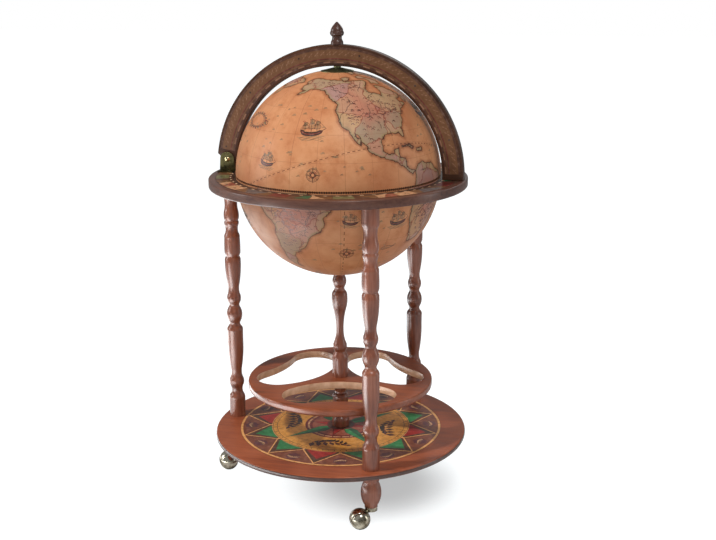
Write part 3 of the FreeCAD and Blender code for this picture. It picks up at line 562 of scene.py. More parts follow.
for side in SIDES:
    add_turned(f"leg_{side}", LEG_SHARES, ring_low.z - base_high.z, LEG_RADIUS)
    foot_length = base_low.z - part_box(f"foot_{side}")[0].z
    add_turned(f"foot_{side}", FOOT_SHARES, foot_length, FOOT_RADIUS)
add_turned("column_lower", COLUMN_LOWER_SHARES, shelf_low.z - base_high.z, COLUMN_FOOT_RADIUS)
add_turned("column_upper", COLUMN_UPPER_SHARES, column_high.z - column_low.z, COLUMN_RADIUS)

# The shelf's openings: two lobes joined by an arc round the hub and an arc along the rim
LOBE_REACH = 0.106
LOBE_SIDE = 0.067
LOBE_RADIUS = 0.045
LOBE_STEPS = 22
OPENING_HUB = 0.034
OPENING_RIM = 0.142
OPENING_STEPS = 14
OPENING_ANGLES = (44.0, 164.0, 284.0)


def spun(points, degrees):
    across = math.cos(math.radians(degrees))
    along = math.sin(math.radians(degrees))
    return [(x * across - y * along, x * along + y * across) for x, y in points]


def polar(reach, degrees):
    return spun([(reach, 0.0)], degrees)[0]


def shifted(points, by):
    return [(x + by[0], y + by[1]) for x, y in points]


def bean():
    inward = LOBE_REACH - OPENING_HUB
    outward = OPENING_RIM - LOBE_REACH
    hub_arc = (LOBE_SIDE ** 2 + inward ** 2 - LOBE_RADIUS ** 2) / (2.0 * (inward - LOBE_RADIUS))
    rim_arc = (LOBE_SIDE ** 2 + outward ** 2 - LOBE_RADIUS ** 2) / (2.0 * (LOBE_RADIUS - outward))
    hub_centre = OPENING_HUB + hub_arc
    rim_centre = OPENING_RIM + rim_arc
    hub_turn = math.degrees(math.atan2(LOBE_SIDE, LOBE_REACH - hub_centre))
    rim_turn = math.degrees(math.atan2(LOBE_SIDE, rim_centre - LOBE_REACH))
    points = round_arc((LOBE_REACH, -LOBE_SIDE), LOBE_RADIUS, -hub_turn, rim_turn, LOBE_STEPS)
    points += round_arc((rim_centre, 0.0), rim_arc, 180.0 + rim_turn, 180.0 - rim_turn, OPENING_STEPS)[1:-1]
    points += round_arc((LOBE_REACH, LOBE_SIDE), LOBE_RADIUS, -rim_turn, hub_turn, LOBE_STEPS)
    points += round_arc((hub_centre, 0.0), hub_arc, hub_turn, 360.0 - hub_turn, OPENING_STEPS)[1:-1]
    return points


shelf_outlines = [(circle(shelf_high.x), SHELF_EDGE)]
shelf_outlines += [(spun(bean(), angle), SHELF_HOLE_EDGE) for angle in OPENING_ANGLES]
add_board("round_shelf", shelf_outlines, shelf_high.z - shelf_low.z, lifted(shelf_low.z),
          "stand", shelf_wood, "bottle_shelf")

# The rack in the bowl. Holes are given by their distance from the middle, radius and angles.
RACK_EDGE = 0.0012
BOTTLE_HOLES = (0.075, 0.043, (60.0, 180.0, 300.0))
GLASS_HOLES = (0.1505, 0.033, (-20.0, 20.0, 100.0, 140.0, 220.0, 260.0))
plate_low, plate_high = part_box("rack_plate")
plate_outlines = [(circle(plate_high.x), RACK_EDGE)]
for reach, radius, angles in (BOTTLE_HOLES, GLASS_HOLES):
    plate_outlines += [(circle(radius, TURN_STEPS, polar(reach, angle)), RACK_EDGE) for angle in angles]
add_board("holed_plate", plate_outlines, plate_high.z - plate_low.z, lifted(plate_low.z),
          "stand", rack_wood, "rack_plate")


# Printed sheets. Each is a board of paper whose top is painted with shapes, from under to over.

PRINT_THICKNESS = 0.0004
INKS = {
    "ground": (74, 40, 28),
    "field": (116, 62, 42),
    "plum": (84, 40, 44),
    "ochre": (222, 158, 92),
    "amber": (206, 140, 58),
    "red": (150, 32, 26),
    "green": (44, 120, 66),
    "pine": (30, 84, 52),
    "maroon": (100, 28, 24),
    "pale": (230, 192, 150),
    "tan": (190, 140, 100),
    "olive": (104, 98, 60),
    "brick": (142, 74, 54),
    "slate": (84, 78, 76),
    "umber": (78, 46, 30),
    "bark": (102, 66, 38),
    "gilt": (110, 72, 42),
    "clay": (132, 92, 68),
    "line": (40, 26, 20),
}
CALM_INKS = {"bark": 0.06, "clay": 0.08}
ink_index = {name: index for index, name in enumerate(INKS)}
print_materials = [make_print(f"print_{name}", ink, CALM_INKS.get(name, PRINT_MOTTLING))
                   for name, ink in INKS.items()]


def star_point(tip, valley, angle, half_turn):
    """One kite-shaped point of a star about the origin."""
    return spun([(0.0, 0.0), polar(valley, -half_turn), (tip, 0.0), polar(valley, half_turn)], angle)


def little_star(centre, tip, valley, points, turn):
    corners = []
    for index in range(2 * points):
        corners.append(polar(valley if index % 2 else tip, turn + 180.0 * index / points))
    return shifted(corners, centre)


def sector(inner, outer, start, end, steps=6):
    middle = (0.0, 0.0)
    return round_arc(middle, outer, start, end, steps) + round_arc(middle, inner, end, start, steps)


def kite(length, width, place, turn):
    """A leaf from its stalk, turned in degrees."""
    corners = [(0.0, 0.0), (0.45 * length, -width / 2.0), (length, 0.0), (0.45 * length, width / 2.0)]
    return shifted(spun(corners, turn), place)


def leaf_spray(middle, turn, length, inks):
    """Leaves in pairs along a bent stalk, with a bud between each pair."""
    shapes = []
    last = 6
    for row in range(last + 1):
        share = row / last
        bend = turn + 13.0 * (row - 3.0)
        stalk = (length * (share - 0.5), 0.1 * length * math.sin(share * math.pi))
        spot = shifted(spun([stalk], turn), middle)[0]
        size = length * (0.34 - 0.02 * row)
        for lean, ink in zip((58.0, -52.0), inks):
            shapes.append((kite(size, 0.56 * size, spot, bend + lean), ink))
        shapes.append((circle(0.035 * length, 8, spot), inks[2]))
    return shapes


def add_print(name, outlines, shapes, matrix, body, node):
    painted = [(polygon, ink_index[ink]) for polygon, ink in shapes]
    vertices, faces, paints = slab([(outline, 0.0) for outline in outlines], PRINT_THICKNESS, painted)
    mesh = mesh_of(name, moved(vertices, matrix), faces, paints)
    add_piece(name, mesh, body, print_materials, node)


BASE_PRINT_RADIUS = 0.2065
BASE_PRINT_BORE = 0.0178
BASE_PRINT_BORE_STEPS = 64
STAR_TIP = 0.2016
STAR_VALLEY = 0.148
STAR_LINE = 0.0024
DYED_TIP = 0.179
DYED_VALLEY = 0.146
FIELD_REACH = 0.1835
SCALE_FOOT = 0.1325
SCALE_TICKS = (0.138, 0.1355)
SPRAY_REACH = 0.101
RED_ARM = (0.062, 0.026)
GREEN_ARM = (0.129, 0.046)
SHADED_ARM = (0.1255, 0.0448)


def base_shapes():
    """A twelve-pointed star in a ring, round a medallion with a four-armed wind rose."""
    shapes = [(circle(0.2061), "ochre"), (circle(0.2014), "field")]
    for index in range(12):
        angle = 30.0 * index
        between = angle + 15.0
        field = polar(FIELD_REACH, between)
        shapes.append((little_star(field, 0.0155, 0.0125, 7, angle), "plum"))
        spray_turn = between + (90.0 if index % 2 else -90.0)
        shapes += leaf_spray(field, spray_turn, 0.021, ("tan", "gilt", "pale"))
        point = star_point(STAR_TIP, STAR_VALLEY, angle, 15.0)
        shapes += [(point, "ochre"), (inset(point, STAR_LINE), "umber")]
        dyed = star_point(DYED_TIP, DYED_VALLEY, angle, 11.6)
        shapes.append((dyed, "green" if index % 3 else "red"))
    for radius, ink in ((0.1422, "ochre"), (0.1408, "umber"), (0.1398, "amber")):
        shapes.append((circle(radius), ink))
    for index in range(72):
        turn = 5.0 * index
        shapes.append((sector(SCALE_FOOT, SCALE_TICKS[index % 2], turn - 0.3, turn + 0.3, 2), "umber"))
    shapes += [(circle(0.1318), "umber"), (circle(0.1308), "amber")]
    quarters = (0.0, 90.0, 180.0, 270.0)
    for angle in quarters:
        spot = polar(SPRAY_REACH, angle + 2.0)
        shapes += leaf_spray(spot, angle + 92.0, 0.066, ("line", "ground", "brick"))
    for radius, ink in ((0.0735, "maroon"), (0.0685, "tan"), (0.0645, "maroon"), (0.0585, "brick")):
        shapes.append((circle(radius), ink))
    for index in range(24):
        shapes.append((sector(0.0645, 0.0685, 15.0 * index, 15.0 * index + 2.0, 2), "maroon"))
    for angle in quarters:
        point = star_point(*RED_ARM, angle, 22.0)
        shapes += [(point, "line"), (inset(point, 0.0012), "red")]
    for quarter in quarters:
        angle = quarter + 45.0
        point = star_point(*GREEN_ARM, angle, 17.0)
        shapes += [(point, "line"), (inset(point, 0.001), "green")]
        shaded = [(0.0, 0.0), polar(SHADED_ARM[0], angle), polar(SHADED_ARM[1], angle + 15.8)]
        shapes.append((shaded, "pine"))
    shapes += [(circle(0.029), "maroon"), (circle(0.0265), "ground")]
    return shapes


RING_PRINT = (0.2071, 0.2401)
RING_COLOURS = ("bark", "olive", "gilt", "brick", "tan", "slate", "bark", "maroon", "pine")
RING_CUTS = ("tan", "bark", "umber", "tan", "umber", "gilt", "slate", "tan", "umber")
RING_BLOCK_DEGREES = 9.5


def ring_shapes(inner, outer):
    """Blocks of colour with a pair of leaves and mostly a slanted cut, and a dotted scale inside."""
    shapes = []
    for angle in (0.0, 120.0, 240.0):
        shapes.append((sector(inner + 0.0004, outer - 0.0005, angle, angle + 120.0, 70), "umber"))
    low = inner + 0.006
    high = outer - 0.0022
    for index in range(36):
        start = 10.0 * index + 3.0
        shapes.append((sector(low, high, start, start + RING_BLOCK_DEGREES), RING_COLOURS[index % 9]))
        if index % 3 != 1:
            near, far = (0.1, 0.75) if index % 2 else (0.62, 0.3)
            wedge = [polar(low, start), polar(low, start + RING_BLOCK_DEGREES * near),
                     polar(high, start + RING_BLOCK_DEGREES * far), polar(high, start)]
            shapes.append((wedge, RING_CUTS[index % 9]))
        spot = polar((low + high) / 2.0, start + 5.2)
        for lean in (-48.0, 48.0):
            shapes.append((kite(0.0095, 0.0036, spot, start + lean), "line" if index % 2 else "umber"))
    for index in range(120):
        turn = 3.0 * index
        dot = sector(inner + 0.0016, inner + 0.0046, turn - 0.9, turn + 0.9, 3)
        shapes.append((dot, "pale" if index % 2 else "line"))
    return shapes


STRIP_DIVISIONS = 48
STRIP_LEAVES = 56
STRIP_ARC_STEPS = 120


def strip_shapes(inner, outer, start, end):
    """Rows along the arch: a divided scale, a red line, a band of faint leaves and dots, a dark edge."""
    red_line = inner + 0.0084
    rows = [(inner + 0.0002, outer - 0.0002, "bark"), (inner + 0.0002, inner + 0.0046, "umber"),
            (red_line - 0.0016, red_line, "umber"), (red_line, red_line + 0.0012, "maroon"),
            (outer - 0.0042, outer - 0.0002, "umber")]
    shapes = [(sector(low, high, start + 0.1, end - 0.1, STRIP_ARC_STEPS), ink) for low, high, ink in rows]
    step = (end - start - 0.8) / STRIP_DIVISIONS
    for index in range(0, STRIP_DIVISIONS, 2):
        block_start = start + 0.4 + step * index
        shapes.append((sector(inner + 0.001, inner + 0.0038, block_start, block_start + step), "clay"))
    middle = (red_line + outer) / 2.0
    for index in range(STRIP_LEAVES):
        angle = start + (end - start) * (index + 0.5) / STRIP_LEAVES
        spot = polar(middle, angle)
        if index % 10 == 5:
            shapes.append((circle(0.0019, 20, spot), "line"))
        else:
            for lean, ink in ((-38.0, "gilt"), (38.0, "clay"), (-142.0, "clay"), (142.0, "gilt")):
                shapes.append((kite(0.0066, 0.0024, spot, angle + 90.0 + lean), ink))
    return shapes


add_print("base_star", [circle(BASE_PRINT_RADIUS), circle(BASE_PRINT_BORE, BASE_PRINT_BORE_STEPS)],
          base_shapes(), lifted(base_high.z), "stand", "base_print")
add_print("ring_blocks", [circle(RING_PRINT[1]), circle(RING_PRINT[0])], ring_shapes(*RING_PRINT),
          lifted(ring_high.z), "stand", "ring_print")


# The arch, its strips, the finial and the pole

GLOBE_LEVEL = 0.646
GLOBE_RADIUS = 0.200
GLOBE_INNER = 0.197
HALF_SPLIT = 0.00075
ARCH_INNER = 0.208
ARCH_OUTER = 0.2485
ARCH_EDGE = 0.0016
ARCH_STEPS = 70
STRIP_INNER = 0.213
STRIP_OUTER = 0.2435
STRIP_ANGLES = (2.0, 170.0)
HINGE_FOOT = 0.019
HINGE_FOOT_TURN = 110.0
HINGE_FOOT_STEPS = 24
FOOT_NOTCH = 0.55 * HINGE_FOOT
FOOT_HEEL = (0.84 * HINGE_FOOT, 0.35 * HINGE_FOOT)
FINIAL_RADIUS = 0.0135
CROWN_HALF = 0.012
arch_low, arch_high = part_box("meridian_arch")
arch_half = arch_high.y
finial_low, finial_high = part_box("finial")
pivot = Vector(joints["lid_hinge"]["pos_m"])
upright = lifted(GLOBE_LEVEL) @ Matrix.Rotation(math.pi / 2.0, 4, "X")


def arch_outline():
    """The arch seen from the front, about the globe's centre, anticlockwise."""
    drop = arch_low.z - GLOBE_LEVEL
    hinge_level = pivot.z - GLOBE_LEVEL
    crown_turn = math.degrees(math.asin(CROWN_HALF / ARCH_OUTER))
    notch = math.degrees(math.asin((hinge_level + FOOT_NOTCH) / ARCH_OUTER))
    inner_end = 180.0 - math.degrees(math.asin(hinge_level / ARCH_INNER))
    middle = (0.0, 0.0)
    points = [(ARCH_INNER, drop), (ARCH_OUTER, drop)]
    points += round_arc(middle, ARCH_OUTER, 0.0, 90.0 - crown_turn, ARCH_STEPS)
    points += round_arc(middle, ARCH_OUTER, 90.0 + crown_turn, 180.0 - notch, ARCH_STEPS)
    points.append((pivot.x - FOOT_HEEL[0], hinge_level + FOOT_HEEL[1]))
    points += round_arc((pivot.x, hinge_level), HINGE_FOOT, 360.0 - HINGE_FOOT_TURN, 360.0, HINGE_FOOT_STEPS)
    points += round_arc(middle, ARCH_INNER, inner_end, 0.0, 2 * ARCH_STEPS)[1:]
    return points


def add_strip(name, angles, facing, node):
    outline = sector(STRIP_INNER, STRIP_OUTER, *angles, STRIP_ARC_STEPS + 1)
    add_print(name, [outline], strip_shapes(STRIP_INNER, STRIP_OUTER, *angles), facing @ lifted(arch_half),
              "lid", node)


add_board("half_arch", [(arch_outline(), ARCH_EDGE)], 2.0 * arch_half, upright @ lifted(-arch_half),
          "lid", arch_wood, "meridian_arch")
add_strip("strip_front", STRIP_ANGLES, upright, "arch_strip_front")
back_angles = (180.0 - STRIP_ANGLES[1], 180.0 - STRIP_ANGLES[0])
add_strip("strip_back", back_angles, Matrix.Rotation(math.pi, 4, "Z") @ upright, "arch_strip_back")
add_turned("finial", FINIAL_SHARES, finial_high.z - finial_low.z, FINIAL_RADIUS,
           "lid", finial_wood)

CAP_RADIUS = 0.032
CAP_NECK = 0.007
CAP_NECK_SHARE = 0.62
CAP_GAP = 0.0003
CAP_RIM_THICKNESS = 0.0012
CAP_STEPS = 12
POLE_BORE = 0.00305
cap_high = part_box("pole_cap")[1]
cap_under = GLOBE_RADIUS + CAP_GAP
cap_top = math.degrees(math.acos(POLE_BORE / cap_under))
cap_slope = math.degrees(math.acos(CAP_RADIUS / cap_under))
neck_foot = GLOBE_LEVEL + cap_under + (cap_high.z - GLOBE_LEVEL - cap_under) * CAP_NECK_SHARE
cap_outline = round_arc((0.0, GLOBE_LEVEL), cap_under, cap_top, cap_slope, CAP_STEPS)
cap_rim = cap_outline[-1][1] + CAP_RIM_THICKNESS
cap_outline += [(CAP_RADIUS, cap_rim), (CAP_NECK, neck_foot), (CAP_NECK, cap_high.z), (POLE_BORE, cap_high.z)]
add_lathe("round_cap", cap_outline, "upper_globe", cap_bronze, "pole_cap")


# The map. Coasts are drawn as rough outlines, each a text of longitude,latitude pairs.

UPPER_TURN = 49.1
LOWER_TURN = -43.4
LANDS = {
    "north_america": """
        -168,66 -162,70 -156,71.5 -141,70 -128,70 -115,68 -108,68 -95,68 -85,69 -82,67 -87,64 -94,60
        -92,57 -85,55.5 -80,52 -79,55 -77,59 -78,62.5 -70,61 -65,59 -61,56 -56,52.5 -60,50 -66,50
        -65,48 -61,46 -66,44 -70,43 -71,41.5 -75,39 -76,36 -81,31.5 -80.5,26 -82.5,28 -84,30 -90,29.5
        -95,29 -97.5,25 -97,21 -94.5,18.3 -91,18.7 -90,21 -87,21.3 -88.5,16 -84,15.5 -83.5,11 -80,9
        -77.5,8.5 -80,7.3 -83,8.5 -86,11 -91,14 -95,16 -101,17.5 -105.5,20.5 -109,25.5 -113,31
        -110.5,25.5 -109.5,23 -112.5,26.5 -115.5,30 -117,32.5 -120.5,34.5 -123,38 -124.3,42 -124,47
        -123,49 -128,51 -132,55 -138,59 -145,60.5 -151,60 -157,57 -163,55 -158,58.5 -164,60 -166,62.5
        -161,64.5""",
    "greenland": """
        -73,78.5 -60,82 -35,83.5 -20,81.5 -18,77 -20,73 -23,70 -32,68 -40,65 -43.5,60 -48,61 -52,65
        -54,69 -58,75 -68,76""",
    "baffin": """
        -90,73.5 -80,73.7 -72,71 -67,69 -62,66.5 -65,62.5 -72,64.5 -78,64.5 -73,68 -80,70 -89,70.5""",
    "victoria": "-118,71.5 -110,73 -104,72 -105,69 -114,69",
    "ellesmere": "-90,76.5 -78,76.5 -68,80 -62,82.3 -75,83 -92,81.5",
    "cuba": "-84.5,22 -80,23.1 -75,20.5 -77.5,19.9 -80,21.7",
    "hispaniola": "-74,20 -69,19.5 -69,18.2 -74,18.2",
    "newfoundland": "-59,48 -56,51.5 -53,48 -55.5,46.8",
    "south_america": """
        -77.5,8.5 -75,11 -71.5,12.3 -68,11.2 -62,10.6 -57,6 -51,4.5 -50,0 -44,-2.7 -39,-3.5 -35,-6
        -35,-9 -39,-14 -39.5,-19 -41.5,-22.5 -46,-24.2 -48.6,-27 -52,-33 -57,-36 -57.5,-38.2 -62,-39
        -65,-42 -66,-46 -69,-51 -68,-54.8 -73,-52.5 -75.5,-47 -73,-41 -73.5,-36 -71.5,-30 -70.3,-20
        -75,-15.5 -79,-8 -81.2,-5 -80,-2 -78,1.5 -77.3,5""",
    "africa": """
        -6,35.5 3,37 10,37 11,34 19,30.5 24,32 32,31 35,27.5 37,21 39.5,15.5 43,11.8 51,11.8 48,5 43,-1
        39.5,-6 40.6,-14.5 35.5,-20 35,-24.5 32.5,-28 28,-33 22,-34.2 18.4,-34 17,-29 14,-22 12,-17
        13.5,-9 9,-1 9.5,4 4.5,6.3 -2,5 -8,4.4 -13,9 -17,14.7 -16.3,20 -14.5,26 -10,30""",
    "madagascar": "49.3,-12 50.3,-16 47,-25 44,-23.5 44.4,-19.5 46,-15.8",
    "eurasia": """
        -9,38.5 -9,43 -1.5,43.5 -1.2,46 -4.7,48.4 1.5,50.2 4.5,52.5 8.3,54 8.2,57 10.6,57.5 10.5,54.5
        14,54 19,54.5 21.3,57 24,57.2 23.5,59.2 29,60 23,60 21.3,62.5 25,65 22,65.8 17.3,61.5 18.8,60
        16.5,57 14.2,55.5 12.7,56 10.7,59.2 7,58 5,61 12,66 19,70 26,71 33,69.5 41,66.7 34,66.5 37,64
        40,64.7 44,66 46,68.3 54,68.7 60,69 68,68.5 67,72 73,71.5 80,72.5 87,75 98,76.2 105,77.5
        113,75.5 113,73.7 127,73 131,71 140,72.5 152,71 160,69.7 170,70 180,69 190,66 180,64.5 177,62.3
        170,60 163,58 162,55 156.7,51 155.5,56 160,60.5 155,59.3 143,59.3 135,54.7 141,53 140,48.5
        135,43.5 131,43 127.5,39.8 129.4,36 126.5,34.4 125,38 121.5,39 118,39 122,37 119.3,35
        121.8,31.5 121,28 117,23.5 110.5,21 108,21.5 106,19 109,13 106,9 105,10 100.5,13.3 99.3,10
        103.5,4 103.5,1.4 100.5,5.5 98.5,9.5 97.5,16 94.3,16 91.5,22.3 87,21.3 80.5,15.5 80,10.5
        77.5,8.2 74,15 72.8,20 70,22.5 67,25 61.5,25.2 57,27 51.5,28 48.5,30 51,25.5 56.3,26 59.5,22.5
        55,17.5 45,12.8 43,15 39,21.5 35,28 34.5,31.5 36,36.5 30.5,36.5 27.5,37 26.5,40 31,41.2 36,41.5
        41.5,41.5 38,44.5 39,47 33.5,46 30.5,46 28.5,43 28.5,41.2 23.5,40.5 23,36.5 19.5,41 13.5,45.5
        18,40.5 16,38 12.5,41.8 9,44.3 3.3,43 0,39.5 -2,36.8 -5.5,36""",
    "britain": "-5.5,50 1.3,51.2 0,53.5 -2,56 -3,58.6 -6,57 -3.3,54.5 -5,52",
    "ireland": "-10,52 -6,52.3 -6,55 -9.5,54",
    "iceland": "-24,65.5 -15,66.3 -14,64.7 -19,63.5 -22.5,64",
    "japan": """
        130,31.5 131,34 136,35.8 140,39.5 140.5,42.5 142,45.3 145,43.5 141.5,40 140.8,36 137,34.6""",
    "sri_lanka": "80,9.7 81.8,7.3 80.2,6",
    "philippines": "120.5,18.3 122,17 124,12.5 126,7 122,7 121.5,12 120,16",
    "borneo": "109,1.5 113,3 117,7 119,5 117.5,0 116,-3.8 110.5,-3",
    "sumatra": "95.3,5.6 100,2 104,-2 106,-5.8 102,-4 98.5,1",
    "java": "105.3,-6.5 110.5,-6.5 114.5,-8 106.5,-7.6",
    "sulawesi": "119.5,0.5 125,1.5 121.5,-1 123,-5 120,-5.5",
    "new_guinea": "131,-0.8 138,-1.7 145,-4.5 150.5,-10.5 144,-7.8 138,-8.3 134,-4",
    "australia": """
        114,-22 113.5,-26 115.7,-32 118,-35 124,-33.5 131.5,-31.5 136,-35 140,-38 146.5,-39 150,-37.5
        153.3,-31 153,-25.5 146.5,-19 145.3,-15 142.5,-11 141,-17 136,-15 136.5,-12 131,-12 127,-14.5
        122,-18""",
    "tasmania": "145,-41 148.2,-41 147,-43.5",
    "new_zealand": "172.7,-34.5 178,-37.7 175.5,-41.5 171,-44 168,-46.6 170.5,-43 173.5,-40.5",
}
CASPIAN = "47,42 49,45.5 53,46.5 51,43 54,40 54,37 50,37.5 49.5,40.5"
# The northern edge of the southern land, round the whole globe
SOUTHERN_EDGE = """
    -180,-78 -150,-77 -120,-74 -100,-72.5 -75,-72 -62,-65 -58,-63.5 -60,-72 -35,-78 -10,-71 30,-69.5
    55,-66.5 85,-66.8 110,-66 140,-67 165,-71 168,-77 180,-78"""


def coast_line(text):
    return [tuple(float(degrees) for degrees in pair.split(",")) for pair in text.split()]


def closed(text):
    corners = coast_line(text)
    return corners + corners[:1]


LAKE = closed(CASPIAN)
CHAINS = [closed(text) for text in LANDS.values()] + [coast_line(SOUTHERN_EDGE), LAKE]


def coast_reach(longitudes, latitudes):
    """Degrees of arc to the nearest coast, positive on land."""
    land = np.zeros(len(longitudes), bool)
    nearest = np.full(len(longitudes), 90.0)
    squeeze = np.cos(np.radians(latitudes))
    for chain in CHAINS:
        within = np.zeros(len(longitudes), bool)
        for (lon0, lat0), (lon1, lat1) in zip(chain, chain[1:]):
            x0 = (lon0 - longitudes + 180.0) % 360.0 - 180.0
            x1 = x0 + (lon1 - lon0)
            y0 = lat0 - latitudes
            rise = lat1 - lat0
            if lon0 != lon1:
                level = y0 - x0 * rise / (lon1 - lon0)
                within ^= ((x0 > 0.0) != (x1 > 0.0)) & (level > 0.0)
            across = (x1 - x0) * squeeze
            share = -(x0 * squeeze * across + y0 * rise) / (across * across + rise * rise)
            share = np.clip(share, 0.0, 1.0)
            nearest = np.minimum(nearest, np.hypot(x0 * squeeze + share * across, y0 + share * rise))
        land = land & ~within if chain is LAKE else land | within
    return np.where(land, nearest, -nearest)


def make_map(name, turn):
    """Aged map paper: sea, tinted land, inked coasts and rules, from the coast distance and place."""
    paint = new_paint(name)
    x, y, z = paint.parts(paint.vector("SUBTRACT", paint.place, (0.0, 0.0, GLOBE_LEVEL)))
    longitude = y.math("ARCTAN2", x).math("DEGREES") - turn
    latitude = (z / GLOBE_RADIUS).math("ARCSINE").math("DEGREES")
    squeeze = latitude.math("RADIANS").math("COSINE")

    def rules(angle, step, half_width, scale=1.0):
        """1 along every multiple of a step of the angle."""
        off = abs((angle / step + 0.5).math("FRACT") - 0.5) * step * scale
        return off.spread(half_width * 0.6, half_width * 1.4, 1.0, 0.0)

    def dashes(angle, step, gap):
        """0 over the first share of every step of the angle, then 1."""
        return (angle / step).math("FRACT").math("GREATER_THAN", gap)

    coast = paint.out("Fac", "ShaderNodeAttribute", attribute_name="coast")
    ragged = coast + (paint.noise(60.0, 6.0, 0.62) - 0.5) * 4.4
    mottle = paint.noise(9.0, 4.0, 0.6)
    stain = paint.noise(34.0, 5.0, 0.65)
    fleck = paint.noise(420.0, 3.0, 0.6)

    sea = paint.ramp(mottle, (0.3, (184, 117, 79)), (0.52, (200, 138, 96)), (0.72, (212, 156, 114)))
    sea = paint.blend(stain.spread(0.45, 0.72, 0.0, 0.5), sea, (168, 98, 58))
    sea = paint.blend(ragged.spread(-2.2, 0.0, 0.0, 0.62), sea, (146, 86, 54))
    waves = rules(ragged, 0.55, 0.1).spread(0.2, 0.9, 0.0, 0.5)
    sea = paint.blend(waves * ragged.spread(-1.9, -0.4), sea, (120, 66, 44))

    wander = paint.out("Color", "ShaderNodeTexNoise", {"Vector": paint.place, "Scale": 26.0, "Detail": 4.0})
    bent = paint.out(1, "ShaderNodeMix", {0: 0.055, 4: paint.place, 5: wander}, data_type="VECTOR")
    cells = {"Vector": bent, "Scale": 21.0}
    province = paint.out("Color", "ShaderNodeTexVoronoi", cells)
    tint = paint.out(0, "ShaderNodeSeparateColor", {"Color": province})
    edge = paint.out("Distance", "ShaderNodeTexVoronoi", cells, feature="DISTANCE_TO_EDGE")
    soil = paint.ramp(tint, (0.0, (166, 128, 118)), (0.2, (182, 136, 116)), (0.4, (184, 142, 112)),
                      (0.6, (158, 132, 108)), (0.8, (188, 146, 104)), (1.0, (176, 122, 106)))
    soil = paint.blend(ragged.spread(4.0, 12.0, 0.0, 0.6), soil, (178, 108, 88))
    fringe = paint.ramp(tint, (0.2, (142, 128, 86)), (0.5, (166, 136, 86)), (0.8, (128, 120, 88)))
    soil = paint.blend(ragged.spread(0.2, 1.8, 0.7, 0.0), soil, fringe)
    soil = paint.blend(edge.spread(0.0, 0.05, 0.55, 0.0), soil, (150, 62, 46))
    soil = paint.blend(edge.spread(0.006, 0.012, 0.7, 0.0), soil, (96, 50, 40))
    soil = paint.blend(stain.spread(0.45, 0.7, 0.0, 0.35), soil, (150, 104, 84))
    colour = paint.blend(ragged.spread(-0.06, 0.06), sea, soil)

    grid = rules(longitude, 15.0, 0.09, squeeze).math("MAXIMUM", rules(latitude, 15.0, 0.09))
    colour = paint.blend(grid * 0.42, colour, (128, 74, 50))
    seam = rules(longitude, 30.0, 0.05, squeeze)
    colour = paint.blend(seam * 0.4, colour, (88, 52, 38))
    prime = rules(longitude + 28.0, 360.0, 0.22, squeeze)
    prime_colour = paint.blend(dashes(latitude, 4.0, 0.5), (74, 42, 32), (202, 150, 104))
    colour = paint.blend(prime * 0.75, colour, prime_colour)
    path = (longitude + 180.0).math("RADIANS").math("SINE") * 23.4
    off_path = abs(latitude - path)
    path_line = off_path.spread(0.16, 0.34, 0.8, 0.0) * dashes(longitude, 3.0, 0.45)
    colour = paint.blend(path_line, colour, (96, 52, 38))
    path_rows = abs(off_path - 0.8).spread(0.05, 0.12, 0.45, 0.0)
    colour = paint.blend(path_rows, colour, (132, 80, 56))
    colour = paint.blend(abs(ragged).spread(0.14, 0.36, 0.92, 0.0), colour, (72, 40, 32))
    equator = abs(latitude).math("LESS_THAN", 0.62)
    equator_colour = paint.blend(dashes(longitude, 1.25, 0.6), (58, 38, 30), (176, 118, 78))
    colour = paint.blend(equator, colour, equator_colour)
    colour = paint.blend(fleck.spread(0.6, 0.78, 0.0, 0.3), colour, (110, 68, 48))

    paint.set(Base_Color=colour, Roughness=stain.spread(0.3, 0.7, 0.42, 0.54))
    paint.set(Specular_IOR_Level=0.2, Coat_Weight=0.1, Coat_Roughness=0.25)
    paint.bump(fleck + stain * 0.6, 0.05, 0.0004)
    return paint.owner


LINING_REACH = GLOBE_RADIUS - 0.0005
LIP_REACH = GLOBE_RADIUS + 0.001
ROD_BORE = 0.0042
LIP_RADIUS = 0.205


def shell_arc(radius, low, high):
    """Points on a meridian of the globe between two heights above its centre."""
    start = math.degrees(math.asin(low / radius))
    end = math.degrees(math.asin(high / radius))
    steps = max(2, round(abs(end - start) / GLOBE_ROW_DEGREES) + 1)
    return round_arc((0.0, 0.0), radius, start, end, steps)


def add_half(name, outline, turn, body, node):
    vertices, faces = lathe(outline, GLOBE_STEPS)
    points = np.array(vertices)
    reach = np.linalg.norm(points, axis=1)
    latitudes = np.degrees(np.arcsin(np.clip(points[:, 2] / reach, -1.0, 1.0)))
    longitudes = np.degrees(np.arctan2(points[:, 1], points[:, 0])) - turn
    paints = []
    # Faces inside the sphere take the lining, and the lip outside it takes painted shade
    for face in faces:
        middle = reach[list(face)].mean()
        paints.append(1 if middle < LINING_REACH else 2 if middle > LIP_REACH else 0)
    mesh = mesh_of(name, points + np.array((0.0, 0.0, GLOBE_LEVEL)), faces, paints)
    coasts = mesh.attributes.new("coast", "FLOAT", "POINT")
    coasts.data.foreach_set("value", coast_reach(longitudes, latitudes))
    add_piece(name, mesh, body, [make_map(f"map_{name}", turn), lining, painted_lip_shade], node)


def bore_height(radius, bore):
    """How high a bore meets a sphere about the origin."""
    return math.sqrt(radius ** 2 - bore ** 2)


